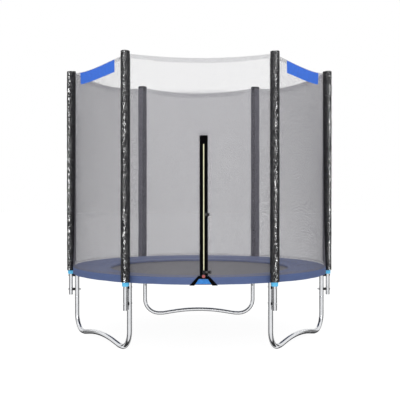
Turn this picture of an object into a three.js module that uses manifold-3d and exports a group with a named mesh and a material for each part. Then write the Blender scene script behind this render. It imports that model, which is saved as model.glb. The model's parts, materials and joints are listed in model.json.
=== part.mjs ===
// Round trampoline with a safety net enclosure: a ring of six rails on three W-shaped legs, six padded
// poles, a spring-hung jumping mat, a safety pad and a net with a zipped door.
// Millimetres, +Z up. The origin is on the ground under the middle of the mat; the door faces -Y.

import * as THREE from 'three';
import { mergeVertices } from 'three/addons/utils/BufferGeometryUtils.js';
import Module from 'manifold-3d';

const wasm = await Module();
wasm.setup();

// ---------------------------------------------------------------- driving dimensions

const GAP = 0.3; // left between two pieces that touch
const OVERCUT = 1; // how far a cutting shape runs past the face that it opens

// Steel ring
const RING_RADIUS = 900; // to the middle of the rail tube
const RAIL_HEIGHT = 457; // middle of the rail tube above the ground
const RAIL_TUBE = 16; // radius of the rail tube
const RAIL_WALL = 1.2;
const RAIL_SPIGOT_LENGTH = 28; // swaged end that slides into the next rail
const RAIL_JOINT_LEAD = 10; // degrees from a post to the rail joint beyond it
const SWAGE_TAPER = 6; // length over which a tube is drawn in to its spigot

// W-shaped legs
const LEG_TUBE = 16;
const LEG_WALL = 1.2;
const SOCKET_DROP = 201; // from the rail's middle to the end of the socket welded under it
const LEG_SPIGOT_LENGTH = 38;
const LEG_BEND = 116; // radius of the bottom corners, to the middle of the tube
const FOOT_FLAT = 24; // level stretch that stands on the ground
const HUMP_RISE = 31; // middle of the leg above its feet
const HUMP_SLOPE = 9; // degrees, steepest part of the hump

// Enclosure poles; drops and rises are from the middle of the rail
const POLE_OFFSET = 46; // from the leg tube's axis out to the pole's axis
const POLE_TUBE = 14;
const POLE_WALL = 1;
const POLE_DROP = 189;
const POLE_RISE = 1451;
const FOAM_RADIUS = 21;
const FOAM_DROP = 36;
const SLEEVE_RADIUS = 27;
const SLEEVE_DROP = 9;
const SLEEVE_ROOF = 4; // thickness of the closed top, which rests on the pole

// Clamps between the poles and the leg sockets
const CLAMP_DROPS = { lower: 149, upper: 46 }; // below the middle of the rail
const SADDLE_HEIGHT = 18;
const SADDLE_WIDTH = 25;
const SADDLE_WAIST = 12; // thickness of the saddle's neck
const SADDLE_WRAP = 7; // how far a saddle reaches round each tube
const BOLT_RADIUS = 3;
const BOLT_HOLE = 3.6;
const BOLT_HEAD_RADIUS = 7;
const BOLT_HEAD_HEIGHT = 4;
const NUT_RADIUS = 6;
const NUT_HEIGHT = 6;
const BOLT_TAIL = 6; // thread that shows beyond the nut

// Jumping mat and springs
const MAT_THICKNESS = 3;
const WEBBING_WIDTH = 22;
const WEBBING_THICKNESS = 5;
const SPRING_COUNT = 36;
const SPRING_SPAN = 131.7; // from the rail's inner face to the point of the V-ring
const SPRING_RADIUS = 10;
const SPRING_WIRE = 1.6; // radius of the spring wire
const SPRING_SHOULDER = 12; // taper from the wound body to the hook
const SPRING_HOOK = 10; // straight wire between the taper and the rail
const HOOK_DEPTH = 5.5; // from the rail's inner face to the hook's bend inside the tube
const HOOK_DROP = 7; // bent end of the hook inside the rail
const SPRING_HOLE = 2.8;
const VRING_REACH = 30; // from the webbing out to the point of the V
const VRING_HALF_WIDTH = 15;
const VRING_WIRE = 3.2; // thickness of the V-ring's wire

// Safety pad
const PAD_LAP = 50; // how far it reaches in over the mat
const PAD_THICKNESS = 15;
const SKIRT_DROP = 15; // below the middle of the rail
const SKIRT_THICKNESS = 1.2;
const PAD_ROUNDING = 5; // bevel along the pad's edges

// Safety net
const NET_THICKNESS = 1.5;
const NET_TOP_DROP = 16; // from the sleeves' closed tops down to the net's corners
// How far the top edge of each panel drops between its poles
const NET_SAGS = {
  front: 28, left_front: 14, right_front: 14, rear: 46, left_rear: 46, right_rear: 46,
};
const NET_TOP_BAND = 27;
const NET_HEM = 16; // bottom and side hems
const NET_BAR = 7; // width of the bars between the gaps
const NET_GAPS_ACROSS = 4;
const NET_GAPS_UP = 4;

// Door in the front panel
const DOOR_X = 21;
const DOOR_LIFT = 9.7; // from the pad's top up to the zip tape
const DOOR_HEIGHT = 877;
const DOOR_STRIP = 62; // unbroken net behind the zip tape
const TAPE_WIDTH = 51;
const TAPE_THICKNESS = 2;
const TAPE_STANDOFF = 1.7; // from the net's middle: the tape stays flat in front of the rounded net
const CHAIN_WIDTH = 12;
const CHAIN_THICKNESS = 2.2;
const CHAIN_FOOT = 11; // bare tape below the chain
const CHAIN_HEAD = 56.4; // bare tape above it
const SLIDER_WIDTH = 18;
const SLIDER_HEIGHT = 22;
const SLIDER_DEPTH = 5.4;
const SLIDER_BOTTOM = 11;
const BAIL_WIDTH = 4;
const BAIL_DEPTH = 6.5;
const BAIL_HEIGHT = 9;
const BAIL_RISE = 14; // its middle above the lower end of the slider
const BAIL_HOLE = 2.2; // radius of the hole that the pull swings in
const PULL_WIDTH = 11;
const PULL_LENGTH = 20;
const PULL_THICKNESS = 2.2;
const PULL_TIP_WIDTH = 5.5;
const PULL_TIP_LENGTH = 4.8;
const BUCKLES = { middle: { height: 380, left: 10 }, lower: { height: 22.6, left: 18 } };
const SOCKET_LENGTH = 15;
const BUCKLE_HEIGHT = 19;
const BUCKLE_THICKNESS = 6;
const BUCKLE_WALL = 1.3;
const BUCKLE_EDGE = 3; // closed edge above and below the cavity and the slot
const PLUG_LENGTH = 13.7;
const PLUG_SLOT = 4; // passes the strap
const PLUG_END_BAR = 2.5;
const TONGUE_LENGTH = 11;
const TONGUE_PLAY = 1; // above and below the tongue

// Straps, flap and tag under the door, on the skirt of the pad
const STRAP_REACH = 88; // from the door's middle to the outer corner of a strap's end
const STRAP_END_WIDTH = 29;
const STRAP_THICKNESS = 1.5;
const STRAP_TOP_HALF_WIDTH = 33;
const STRAP_OVERHANG = 5; // below the skirt
const CORNER_HEIGHT = 1; // of the outer corners of the straps and the flap
const CROTCH_DEPTH = 18; // from the straps' top edge down to where they part
const CROTCH_HALF_WIDTH = 30;
const FLAP_TOP_DROP = 3; // below the crotch
const FLAP_HEM = 5.5; // skirt that shows below the flap
const FLAP_TOP_HALF_WIDTH = 34;
const FLAP_BOTTOM_HALF_WIDTH = 56;
const FLAP_THICKNESS = 0.8;
const TAG_RADIUS = 13.5;
const TAG_THICKNESS = 1.5;
const TAG_DROP = 3; // its middle below the end of the zip tape

// Bare patches sewn near the top of the two side-front panels
const PATCH_NEAR = 0.127; // share of the panel's width at the side pole's end
const PATCH_FAR = 0.775;
const PATCH_HEIGHT = 84;
const PATCH_DROP = 4; // below the top edge of the net
const PATCH_THICKNESS = 1;
const PATCH_STANDOFF = 0.8; // clears the twist of the net between two bars

// Facets
const RING_STEPS = 36; // corners shared by every piece that runs round the ring
const TUBE_SIDES = 8;
const SLEEVE_SIDES = 12;
const WIRE_SIDES = 4;
const BEND_STEPS = 5;
const CREST_STEPS = 4;
const BOLT_SIDES = 6;

// ---------------------------------------------------------------- places worked out from them

const TAU = Math.PI * 2;
const POSTS = ['right', 'rear_right', 'rear_left', 'left', 'front_left', 'front_right'];
const SPANS = ['right_rear', 'rear', 'left_rear', 'left_front', 'front', 'right_front'];
const LEG_SPANS = ['rear', 'left_front', 'right_front'];
const SPAN_ANGLE = TAU / POSTS.length;
const RING_STEP = TAU / RING_STEPS;
const POST_RADIUS = RING_RADIUS + POLE_OFFSET;
const JOINT_LEAD = THREE.MathUtils.degToRad(RAIL_JOINT_LEAD);
const RAIL_TOP = RAIL_HEIGHT + RAIL_TUBE;
const RAIL_OUTSIDE = RING_RADIUS + RAIL_TUBE;
const SOCKET_BOTTOM = RAIL_HEIGHT - SOCKET_DROP;
const POLE_BOTTOM = RAIL_HEIGHT - POLE_DROP;
const POLE_TOP = RAIL_HEIGHT + POLE_RISE;
const SLEEVE_BOTTOM = RAIL_HEIGHT - SLEEVE_DROP;
const SLEEVE_TOP = POLE_TOP + GAP + SLEEVE_ROOF;
const CLAMP_HEIGHTS = {
  lower: RAIL_HEIGHT - CLAMP_DROPS.lower,
  upper: RAIL_HEIGHT - CLAMP_DROPS.upper,
};
const WEBBING_TOP = RAIL_HEIGHT + WEBBING_THICKNESS / 2;
const VRING_POINT = RING_RADIUS - RAIL_TUBE - SPRING_SPAN;
const WEBBING_OUTSIDE = VRING_POINT - VRING_REACH;
const WEBBING_INSIDE = WEBBING_OUTSIDE - WEBBING_WIDTH;
const MAT_RADIUS = WEBBING_INSIDE - GAP;
const LEG_CORNER = LEG_TUBE / Math.cos(Math.PI / TUBE_SIDES); // furthest point of a leg's section
const SKIRT_INSIDE = Math.max(RAIL_OUTSIDE, RING_RADIUS + LEG_CORNER) + GAP;
const SKIRT_OUTSIDE = SKIRT_INSIDE + SKIRT_THICKNESS;
const SKIRT_BOTTOM = RAIL_HEIGHT - SKIRT_DROP;
const PAD_INNER_RADIUS = MAT_RADIUS - PAD_LAP;
const PAD_TOP = RAIL_TOP + GAP + PAD_THICKNESS;
const NET_RADIUS = POST_RADIUS - SLEEVE_RADIUS - GAP - NET_THICKNESS / 2;
const NET_BOTTOM = PAD_TOP + GAP;
const NET_TOP_AT_POLES = SLEEVE_TOP - NET_TOP_DROP;
const NET_EDGE_ANGLE = (GAP + NET_THICKNESS) / NET_RADIUS;
const DOOR_BOTTOM = PAD_TOP + DOOR_LIFT;
const DOOR_TOP = DOOR_BOTTOM + DOOR_HEIGHT;

const postAngle = (name) => POSTS.indexOf(name) * SPAN_ANGLE;
const spanAngle = (name) => SPANS.indexOf(name) * SPAN_ANGLE;
const legAngle = (span) => spanAngle(span) + SPAN_ANGLE / 2;
const polar = (radius, angle, z) =>
  new THREE.Vector3(radius * Math.cos(angle), radius * Math.sin(angle), z);

// The ring pieces share the corners of one polygon. Between two corners it lies inside its circle.
function ringFactor(angle) {
  const past = THREE.MathUtils.euclideanModulo(angle, RING_STEP);
  return Math.cos(RING_STEP / 2) / Math.cos(past - RING_STEP / 2);
}

// ---------------------------------------------------------------- shapes

// Corners of a regular polygon whose flats lie at the radius, one of them facing +X.
function polygon(radius, sides) {
  const corner = radius / Math.cos(Math.PI / sides);
  return Array.from({ length: sides }, (_, i) => {
    const angle = ((i + 0.5) * TAU) / sides;
    return new THREE.Vector2(corner * Math.cos(angle), corner * Math.sin(angle));
  });
}

function withFaces(points, faces) {
  const geometry = new THREE.BufferGeometry();
  geometry.setFromPoints(points);
  let volume = 0;
  for (let i = 0; i < faces.length; i += 3) {
    const [a, b, c] = [points[faces[i]], points[faces[i + 1]], points[faces[i + 2]]];
    volume += a.dot(new THREE.Vector3().crossVectors(b, c));
  }
  geometry.setIndex(volume < 0 ? faces.slice().reverse() : faces);
  return geometry;
}

// A closed solid through a row of rings that all have the same number of points.
function loft(rings) {
  const count = rings[0].length;
  const faces = [];
  for (let r = 0; r < rings.length - 1; r++) {
    for (let i = 0; i < count; i++) {
      const [a, b] = [r * count + i, r * count + ((i + 1) % count)];
      faces.push(a, b, b + count, a, b + count, a + count);
    }
  }
  const last = (rings.length - 1) * count;
  for (let i = 1; i < count - 1; i++) faces.push(0, i + 1, i, last, last + i, last + i + 1);
  return withFaces(rings.flat(), faces);
}

// A bar of regular section through stations { at, along, radius }; across is square to its plane.
function sweep(stations, sides, across) {
  return loft(stations.map(({ at, along, radius }) => {
    const side = new THREE.Vector3().crossVectors(along, across).normalize();
    return polygon(radius, sides).map((corner) =>
      at.clone().addScaledVector(across, corner.y).addScaledVector(side, corner.x));
  }));
}

// A closed outline of [radius, height] pairs turned about Z.
function revolve(outline, segments) {
  const points = outline.map(([radius, height]) => new THREE.Vector2(radius, height));
  return new THREE.LatheGeometry(points, segments).rotateX(Math.PI / 2);
}

// The same with its flats at the outline's radii, one of them facing +X.
function turned(outline, sides) {
  const corner = 1 / Math.cos(Math.PI / sides);
  return revolve(outline.map(([r, h]) => [r * corner, h]), sides).rotateZ(Math.PI / sides);
}

const hollow = (outer, inner, bottom, top) =>
  [[inner, bottom], [outer, bottom], [outer, top], [inner, top], [inner, bottom]];

// A rod that points away from the Z axis.
function radialRod(angle, from, to, height, radius, sides) {
  const along = polar(1, angle, 0);
  const ends = [from, to].map((r) => ({ at: polar(r, angle, height), along, radius }));
  return sweep(ends, sides, new THREE.Vector3(0, 0, 1));
}

function block(x0, x1, y0, y1, z0, z1) {
  return new THREE.BoxGeometry(x1 - x0, y1 - y0, z1 - z0)
    .translate((x0 + x1) / 2, (y0 + y1) / 2, (z0 + z1) / 2);
}

function toSolid(geometry) {
  const bare = geometry.clone();
  bare.deleteAttribute('normal');
  bare.deleteAttribute('uv');
  const merged = mergeVertices(bare, 1e-3);
  const vertProperties = Float32Array.from(merged.attributes.position.array);
  const triVerts = Uint32Array.from(merged.index.array);
  return new wasm.Manifold(new wasm.Mesh({ numProp: 3, vertProperties, triVerts }));
}

function toGeometry(solid) {
  const { vertProperties, triVerts } = solid.getMesh();
  const geometry = new THREE.BufferGeometry();
  geometry.setAttribute('position', new THREE.BufferAttribute(vertProperties, 3));
  geometry.setIndex(new THREE.BufferAttribute(triVerts, 1));
  return geometry;
}

const join = (...pieces) => pieces.reduce((whole, piece) => whole.add(piece));
const cut = (whole, ...pieces) => pieces.reduce((rest, piece) => rest.subtract(piece), whole);

// ---------------------------------------------------------------- materials and the assembly

const MATERIALS = {
  steel: new THREE.MeshStandardMaterial({ color: 0xc9cccf, roughness: 0.3, metalness: 1 }),
  spring: new THREE.MeshStandardMaterial({ color: 0xb4b8bb, roughness: 0.35, metalness: 1 }),
  blackPlastic: new THREE.MeshStandardMaterial({ color: 0x141414, roughness: 0.5, metalness: 0 }),
  foam: new THREE.MeshStandardMaterial({ color: 0x6cc8ff, roughness: 0.9, metalness: 0 }),
  vinyl: new THREE.MeshStandardMaterial({ color: 0x262629, roughness: 0.35, metalness: 0 }),
  net: new THREE.MeshStandardMaterial({ color: 0x3c3c40, roughness: 0.9, metalness: 0 }),
  mat: new THREE.MeshStandardMaterial({ color: 0x2e2e30, roughness: 0.8, metalness: 0 }),
  pad: new THREE.MeshStandardMaterial({ color: 0x586699, roughness: 0.5, metalness: 0 }),
  webbing: new THREE.MeshStandardMaterial({ color: 0x161616, roughness: 0.8, metalness: 0 }),
  blueCloth: new THREE.MeshStandardMaterial({ color: 0x3f93ea, roughness: 0.7, metalness: 0 }),
  patch: new THREE.MeshStandardMaterial({ color: 0x2f63c8, roughness: 0.6, metalness: 0 }),
  redTag: new THREE.MeshStandardMaterial({ color: 0xd8403a, roughness: 0.6, metalness: 0 }),
};

const trampoline = new THREE.Group();

function place(name, geometry, material, parent = trampoline) {
  const mesh = new THREE.Mesh(geometry, MATERIALS[material]);
  mesh.name = name;
  parent.add(mesh);
  return mesh;
}

// Stands a mesh that was drawn about its own axis at one of the six posts, +X pointing outwards.
function standAtPost(mesh, post, radius) {
  mesh.rotation.z = postAngle(post);
  mesh.position.copy(polar(radius, postAngle(post), 0));
}

// ---------------------------------------------------------------- ring of rails

// Stations along the ring through [angle, radius] pairs, with the ring's corners between them.
function ringStations(pairs) {
  const stations = [];
  const add = (angle, radius) => stations.push({
    at: polar(RING_RADIUS * ringFactor(angle), angle, RAIL_HEIGHT),
    along: polar(1, angle + Math.PI / 2, 0),
    radius,
  });
  pairs.forEach(([angle, radius], i) => {
    add(angle, radius);
    if (i === pairs.length - 1) return;
    const [nextAngle, nextRadius] = pairs[i + 1];
    const margin = RING_STEP / 50;
    let corner = Math.ceil((angle + margin) / RING_STEP);
    for (; corner * RING_STEP < nextAngle - margin; corner++) {
      const share = (corner * RING_STEP - angle) / (nextAngle - angle);
      add(corner * RING_STEP, THREE.MathUtils.lerp(radius, nextRadius, share));
    }
  });
  return stations;
}

const ringTube = (pairs) => toSolid(sweep(ringStations(pairs), TUBE_SIDES, new THREE.Vector3(0, 0, 1)));

function springAngle(index) {
  return ((index + 0.5) * TAU) / SPRING_COUNT;
}

// The leg that stands under a post; the socket's flats are turned to match its tube.
function legUnder(angle) {
  const apart = (span) => Math.cos(legAngle(span) - angle);
  return LEG_SPANS.slice().sort((a, b) => apart(b) - apart(a))[0];
}

function topRail(span) {
  const start = spanAngle(span) + JOINT_LEAD + GAP / RING_RADIUS / 2;
  const end = start + SPAN_ANGLE - GAP / RING_RADIUS;
  const socketAngle = spanAngle(span) + SPAN_ANGLE;
  const bore = RAIL_TUBE - RAIL_WALL;
  const spigot = bore - GAP;
  const angleOf = (length) => length / RING_RADIUS;
  const tip = start - angleOf(RAIL_SPIGOT_LENGTH);
  const tube = ringTube([[tip, spigot], [start, spigot], [start, RAIL_TUBE], [end, RAIL_TUBE]]);
  const passage = ringTube([
    [tip - angleOf(OVERCUT), spigot - RAIL_WALL],
    [start + angleOf(RAIL_WALL), spigot - RAIL_WALL],
    [start + angleOf(RAIL_WALL + SWAGE_TAPER), bore],
    [end + angleOf(OVERCUT), bore],
  ]);
  const atSocket = (geometry) => toSolid(geometry
    .rotateZ(legAngle(legUnder(socketAngle)))
    .translate(...polar(RING_RADIUS, socketAngle, 0).toArray()));
  const rod = (radius, bottom) => atSocket(turned(
    [[0, bottom], [radius, bottom], [radius, RAIL_HEIGHT], [0, RAIL_HEIGHT]], TUBE_SIDES));
  const boltHoles = Object.values(CLAMP_HEIGHTS).map((height) => toSolid(radialRod(
    socketAngle, RING_RADIUS - 2 * RAIL_TUBE, RING_RADIUS + 2 * RAIL_TUBE,
    height, BOLT_HOLE, BOLT_SIDES)));
  const springHoles = [];
  for (let i = 0; i < SPRING_COUNT * 2; i++) {
    const angle = springAngle(i);
    if (angle <= start || angle >= end) continue;
    const middle = RING_RADIUS * ringFactor(angle);
    springHoles.push(toSolid(radialRod(
      angle, middle - 2 * RAIL_TUBE, middle, RAIL_HEIGHT, SPRING_HOLE, WIRE_SIDES)));
  }
  return cut(join(tube, rod(LEG_TUBE, SOCKET_BOTTOM)), passage,
    rod(LEG_TUBE - LEG_WALL, SOCKET_BOTTOM - OVERCUT), ...boltHoles, ...springHoles);
}

for (const span of SPANS) place(`top_rail_${span}`, toGeometry(topRail(span)), 'steel');

// ---------------------------------------------------------------- W-shaped legs

// Middle line of a leg in its own plane: x along the leg from its middle, y up from the ground.
function legLine() {
  const half = RING_RADIUS * Math.sin(SPAN_ANGLE / 2);
  const slope = THREE.MathUtils.degToRad(HUMP_SLOPE);
  const low = LEG_TUBE;
  const points = [];
  const bendX = -half + LEG_BEND;
  for (let i = 0; i <= BEND_STEPS; i++) {
    const turn = (i / BEND_STEPS) * (Math.PI / 2);
    points.push([bendX - LEG_BEND * Math.cos(turn), low + LEG_BEND * (1 - Math.sin(turn)), turn]);
  }
  const footX = bendX + FOOT_FLAT;
  points.push([footX, low, Math.PI / 2]);
  const rampX = footX + LEG_BEND * Math.sin(slope);
  const rampRise = LEG_BEND * (1 - Math.cos(slope));
  points.push([rampX, low + rampRise, Math.PI / 2 + slope]);
  const climb = -rampX * Math.tan(slope) - (HUMP_RISE - rampRise);
  const crest = climb / (Math.sin(slope) * Math.tan(slope) - (1 - Math.cos(slope)));
  for (let i = 0; i < CREST_STEPS / 2; i++) {
    const turn = slope * (1 - (2 * i) / CREST_STEPS);
    const drop = crest * (1 - Math.cos(turn));
    points.push([-crest * Math.sin(turn), low + HUMP_RISE - drop, Math.PI / 2 + turn]);
  }
  const mirrored = points.map(([x, y, turn]) => [-x, y, Math.PI - turn]).reverse();
  return [...points, [0, low + HUMP_RISE, Math.PI / 2], ...mirrored];
}

// A bar along that line; ends holds the [height, radius] pairs that lead down into each end of it.
function legTube(ends, radius) {
  const line = legLine();
  const endX = -line[0][0];
  const station = ([x, y, turn], r) => ({
    at: new THREE.Vector3(x, 0, y),
    along: new THREE.Vector3(Math.sin(turn), 0, -Math.cos(turn)),
    radius: r,
  });
  const down = ends.map(([height, r]) => station([-endX, height, 0], r));
  const up = ends.map(([height, r]) => station([endX, height, Math.PI], r)).reverse();
  const stations = [...down, ...line.map((point) => station(point, radius)), ...up];
  return toSolid(sweep(stations, TUBE_SIDES, new THREE.Vector3(0, 1, 0)));
}

function leg() {
  const bore = LEG_TUBE - LEG_WALL;
  const spigot = bore - GAP;
  const top = SOCKET_BOTTOM + LEG_SPIGOT_LENGTH;
  const shoulder = SOCKET_BOTTOM - GAP;
  const neck = shoulder - 2 * LEG_WALL;
  const outside = legTube([[top, spigot], [shoulder, spigot], [shoulder, LEG_TUBE]], LEG_TUBE);
  const inside = legTube([
    [top + OVERCUT, spigot - LEG_WALL], [neck, spigot - LEG_WALL], [neck - SWAGE_TAPER, bore],
  ], bore);
  return toGeometry(cut(outside, inside));
}

for (const span of LEG_SPANS) {
  const mesh = place(`leg_${span}`, leg(), 'steel');
  mesh.rotation.z = legAngle(span) + Math.PI / 2;
  mesh.position.copy(polar(RING_RADIUS * Math.cos(SPAN_ANGLE / 2), legAngle(span), 0));
}

// ---------------------------------------------------------------- padded poles

function pole() {
  const tube = toSolid(turned(
    hollow(POLE_TUBE, POLE_TUBE - POLE_WALL, POLE_BOTTOM, POLE_TOP), TUBE_SIDES));
  const holes = Object.values(CLAMP_HEIGHTS).map((height) =>
    toSolid(radialRod(0, -2 * POLE_TUBE, 2 * POLE_TUBE, height, BOLT_HOLE, BOLT_SIDES)));
  return toGeometry(cut(tube, ...holes));
}

// A vinyl sleeve: a bag over the foam, open at the bottom and sewn shut over the top of the pole.
function sleeve() {
  const inner = FOAM_RADIUS + GAP;
  const roof = SLEEVE_TOP - SLEEVE_ROOF;
  const mouth = SLEEVE_BOTTOM - OVERCUT;
  const outside = toSolid(turned([
    [0, SLEEVE_BOTTOM], [SLEEVE_RADIUS, SLEEVE_BOTTOM], [SLEEVE_RADIUS, roof],
    [SLEEVE_RADIUS - SLEEVE_ROOF, SLEEVE_TOP], [0, SLEEVE_TOP],
  ], SLEEVE_SIDES));
  const inside = toSolid(turned([
    [0, mouth], [inner, mouth], [inner, roof], [0, roof],
  ], TUBE_SIDES));
  return toGeometry(cut(outside, inside));
}

for (const post of POSTS) {
  standAtPost(place(`enclosure_pole_${post}`, pole(), 'steel'), post, POST_RADIUS);
  const foam = turned(
    hollow(FOAM_RADIUS, POLE_TUBE + GAP, RAIL_HEIGHT - FOAM_DROP, POLE_TOP), TUBE_SIDES);
  standAtPost(place(`foam_tube_${post}`, foam, 'foam'), post, POST_RADIUS);
  standAtPost(place(`pole_sleeve_${post}`, sleeve(), 'vinyl'), post, POST_RADIUS);
}

// ---------------------------------------------------------------- clamps: saddle spacer and bolt

function clamp(height) {
  const inside = LEG_TUBE - SADDLE_WRAP; // from the leg's axis out to the saddle's horns
  const outside = POLE_OFFSET - POLE_TUBE + SADDLE_WRAP;
  // Corners of a section with bevelled edges, as shares of its half width and half height.
  const section = (x, halfWidth, halfHeight) => [
    [1, 0.4], [0.5, 1], [-0.5, 1], [-1, 0.4], [-1, -0.4], [-0.5, -1], [0.5, -1], [1, -0.4],
  ].map(([y, z]) => new THREE.Vector3(x, y * halfWidth, height + z * halfHeight));
  const middle = (LEG_TUBE + POLE_OFFSET - POLE_TUBE) / 2;
  const wide = [SADDLE_WIDTH / 2, SADDLE_HEIGHT / 2];
  const neck = [SADDLE_WAIST / 2, SADDLE_WAIST / 2];
  const spool = toSolid(loft([
    section(inside, ...wide), section(middle, ...neck), section(outside, ...wide),
  ]));
  const tube = (radius, x, sides) => toSolid(turned([
    [0, height - SADDLE_HEIGHT], [radius + GAP, height - SADDLE_HEIGHT],
    [radius + GAP, height + SADDLE_HEIGHT], [0, height + SADDLE_HEIGHT],
  ], sides).translate(x, 0, 0));
  const nutFace = -LEG_CORNER - GAP;
  const headFace = POLE_OFFSET + POLE_TUBE + GAP;
  const bolt = toSolid(turned([
    [0, nutFace - NUT_HEIGHT - BOLT_TAIL], [BOLT_RADIUS, nutFace - NUT_HEIGHT - BOLT_TAIL],
    [BOLT_RADIUS, nutFace - NUT_HEIGHT], [NUT_RADIUS, nutFace - NUT_HEIGHT],
    [NUT_RADIUS, nutFace], [BOLT_RADIUS, nutFace], [BOLT_RADIUS, headFace],
    [BOLT_HEAD_RADIUS, headFace], [0, headFace + BOLT_HEAD_HEIGHT],
  ], BOLT_SIDES).rotateY(Math.PI / 2).translate(0, 0, height));
  const saddle = cut(
    spool, tube(LEG_CORNER, 0, SLEEVE_SIDES), tube(POLE_TUBE, POLE_OFFSET, TUBE_SIDES));
  return toGeometry(join(saddle, bolt));
}

for (const post of POSTS) {
  for (const [level, height] of Object.entries(CLAMP_HEIGHTS)) {
    const mesh = place(`pole_clamp_${post}_${level}`, clamp(height), 'blackPlastic');
    standAtPost(mesh, post, RING_RADIUS);
  }
}

// ---------------------------------------------------------------- jumping mat and springs

const matHalf = MAT_THICKNESS / 2;
place('jumping_mat', revolve([
  [0, RAIL_HEIGHT - matHalf], [MAT_RADIUS, RAIL_HEIGHT - matHalf],
  [MAT_RADIUS, RAIL_HEIGHT + matHalf], [0, RAIL_HEIGHT + matHalf],
], RING_STEPS), 'mat');

// A wound tension spring: hooked through the wall of the rail, tapered, and hooked to its V-ring.
function spring(angle) {
  const railFace = RING_RADIUS * ringFactor(angle) - RAIL_TUBE;
  const hookRadius = railFace + HOOK_DEPTH;
  const vPoint = WEBBING_OUTSIDE * ringFactor(angle) + VRING_REACH;
  const inwards = polar(-1, angle, 0);
  const up = new THREE.Vector3(0, 0, 1);
  const station = (radius, z, along, width) => ({
    at: polar(radius, angle, RAIL_HEIGHT + z), along, radius: width,
  });
  const outer = railFace - SPRING_HOOK;
  const inner = vPoint + SPRING_HOOK / 2;
  return sweep([
    station(hookRadius, -HOOK_DROP, up, SPRING_WIRE),
    station(hookRadius, 0, up.clone().add(inwards), SPRING_WIRE),
    station(outer, 0, inwards, SPRING_WIRE),
    station(outer - SPRING_SHOULDER, 0, inwards, SPRING_RADIUS),
    station(inner + SPRING_SHOULDER, 0, inwards, SPRING_RADIUS),
    station(inner, 0, inwards, SPRING_WIRE),
    station(vPoint - VRING_WIRE, 0, inwards, SPRING_WIRE),
  ], WIRE_SIDES, polar(1, angle + Math.PI / 2, 0));
}

// A wire triangle whose base is sewn into the webbing and whose point takes the spring's hook.
function vRing(angle) {
  const base = WEBBING_OUTSIDE * ringFactor(angle) - WEBBING_WIDTH / 2;
  const point = WEBBING_OUTSIDE * ringFactor(angle) + VRING_REACH;
  const spread = VRING_HALF_WIDTH / (point - base); // tangent of half the angle at the point
  const triangle = (inset) => {
    const tip = point - inset * Math.hypot(1, 1 / spread);
    const half = (tip - base - inset) * spread;
    return [[base + inset, -half], [tip, 0], [base + inset, half]]
      .map(([x, y]) => new THREE.Vector2(x, y));
  };
  const outline = new THREE.Shape(triangle(0));
  outline.holes.push(new THREE.Path(triangle(VRING_WIRE)));
  return new THREE.ExtrudeGeometry(outline, { depth: VRING_WIRE, bevelEnabled: false })
    .translate(0, 0, RAIL_HEIGHT - VRING_WIRE / 2)
    .rotateZ(angle);
}

function springRing() {
  const low = RAIL_HEIGHT - WEBBING_THICKNESS / 2;
  const pieces = [toSolid(revolve(
    hollow(WEBBING_OUTSIDE, WEBBING_INSIDE, low, WEBBING_TOP), RING_STEPS))];
  for (let i = 0; i < SPRING_COUNT; i++) {
    const angle = springAngle(i);
    pieces.push(join(toSolid(spring(angle)), toSolid(vRing(angle))));
  }
  return toGeometry(join(...pieces));
}

place('spring_ring', springRing(), 'spring');

// ---------------------------------------------------------------- safety pad

// It lies on the rails and on the mat's edge, humped over the springs, with a skirt outside.
function safetyPad() {
  const overMat = WEBBING_TOP + GAP;
  const overSprings = RAIL_HEIGHT + SPRING_RADIUS + GAP;
  const overRail = RAIL_TOP + GAP;
  const railStart = RING_RADIUS - RAIL_TUBE - PAD_ROUNDING;
  return revolve([
    [PAD_INNER_RADIUS, overMat], [WEBBING_OUTSIDE + PAD_ROUNDING, overMat],
    [VRING_POINT, overSprings], [railStart, overRail], [SKIRT_INSIDE, overRail],
    [SKIRT_INSIDE, SKIRT_BOTTOM], [SKIRT_OUTSIDE, SKIRT_BOTTOM],
    [SKIRT_OUTSIDE, PAD_TOP - PAD_ROUNDING], [SKIRT_OUTSIDE - PAD_ROUNDING, PAD_TOP],
    [VRING_POINT, overSprings + PAD_THICKNESS], [WEBBING_OUTSIDE, overMat + PAD_THICKNESS],
    [PAD_INNER_RADIUS + PAD_ROUNDING, overMat + PAD_THICKNESS],
    [PAD_INNER_RADIUS, overMat + PAD_THICKNESS - PAD_ROUNDING], [PAD_INNER_RADIUS, overMat],
  ], RING_STEPS);
}

place('safety_pad', safetyPad(), 'pad');

// ---------------------------------------------------------------- safety net

// Height of the net's top edge, sagging between two poles; u runs from 0 to 1 along the panel.
const netTop = (span, u) => NET_TOP_AT_POLES - NET_SAGS[span] * 4 * u * (1 - u);

// A point of a panel: straight between the poles at the top, round with the pad at the bottom.
function netPoint(span, u, v, offset = 0) {
  const first = spanAngle(span) + NET_EDGE_ANGLE;
  const last = spanAngle(span) + SPAN_ANGLE - NET_EDGE_ANGLE;
  const angle = THREE.MathUtils.lerp(first, last, u);
  const z = THREE.MathUtils.lerp(NET_BOTTOM, netTop(span, u), v);
  const straight = polar(NET_RADIUS, first, z).lerp(polar(NET_RADIUS, last, z), u);
  const outwards = polar(1, angle, 0).lerp(polar(1, (first + last) / 2, 0), v).normalize();
  return polar(NET_RADIUS, angle, z).lerp(straight, v).addScaledVector(outwards, offset);
}

const netShare = (span, u, z) => (z - NET_BOTTOM) / (netTop(span, u) - NET_BOTTOM);

// Places where bars and gaps begin and end along one side of a panel, from 0 to 1.
function barEdges(length, gaps, firstBar, lastBar) {
  const edges = [0, firstBar / length];
  for (let i = 1; i < gaps; i++) {
    const middle = i / gaps;
    edges.push(middle - NET_BAR / length / 2, middle + NET_BAR / length / 2);
  }
  return [...edges, 1 - lastBar / length, 1];
}

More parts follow.
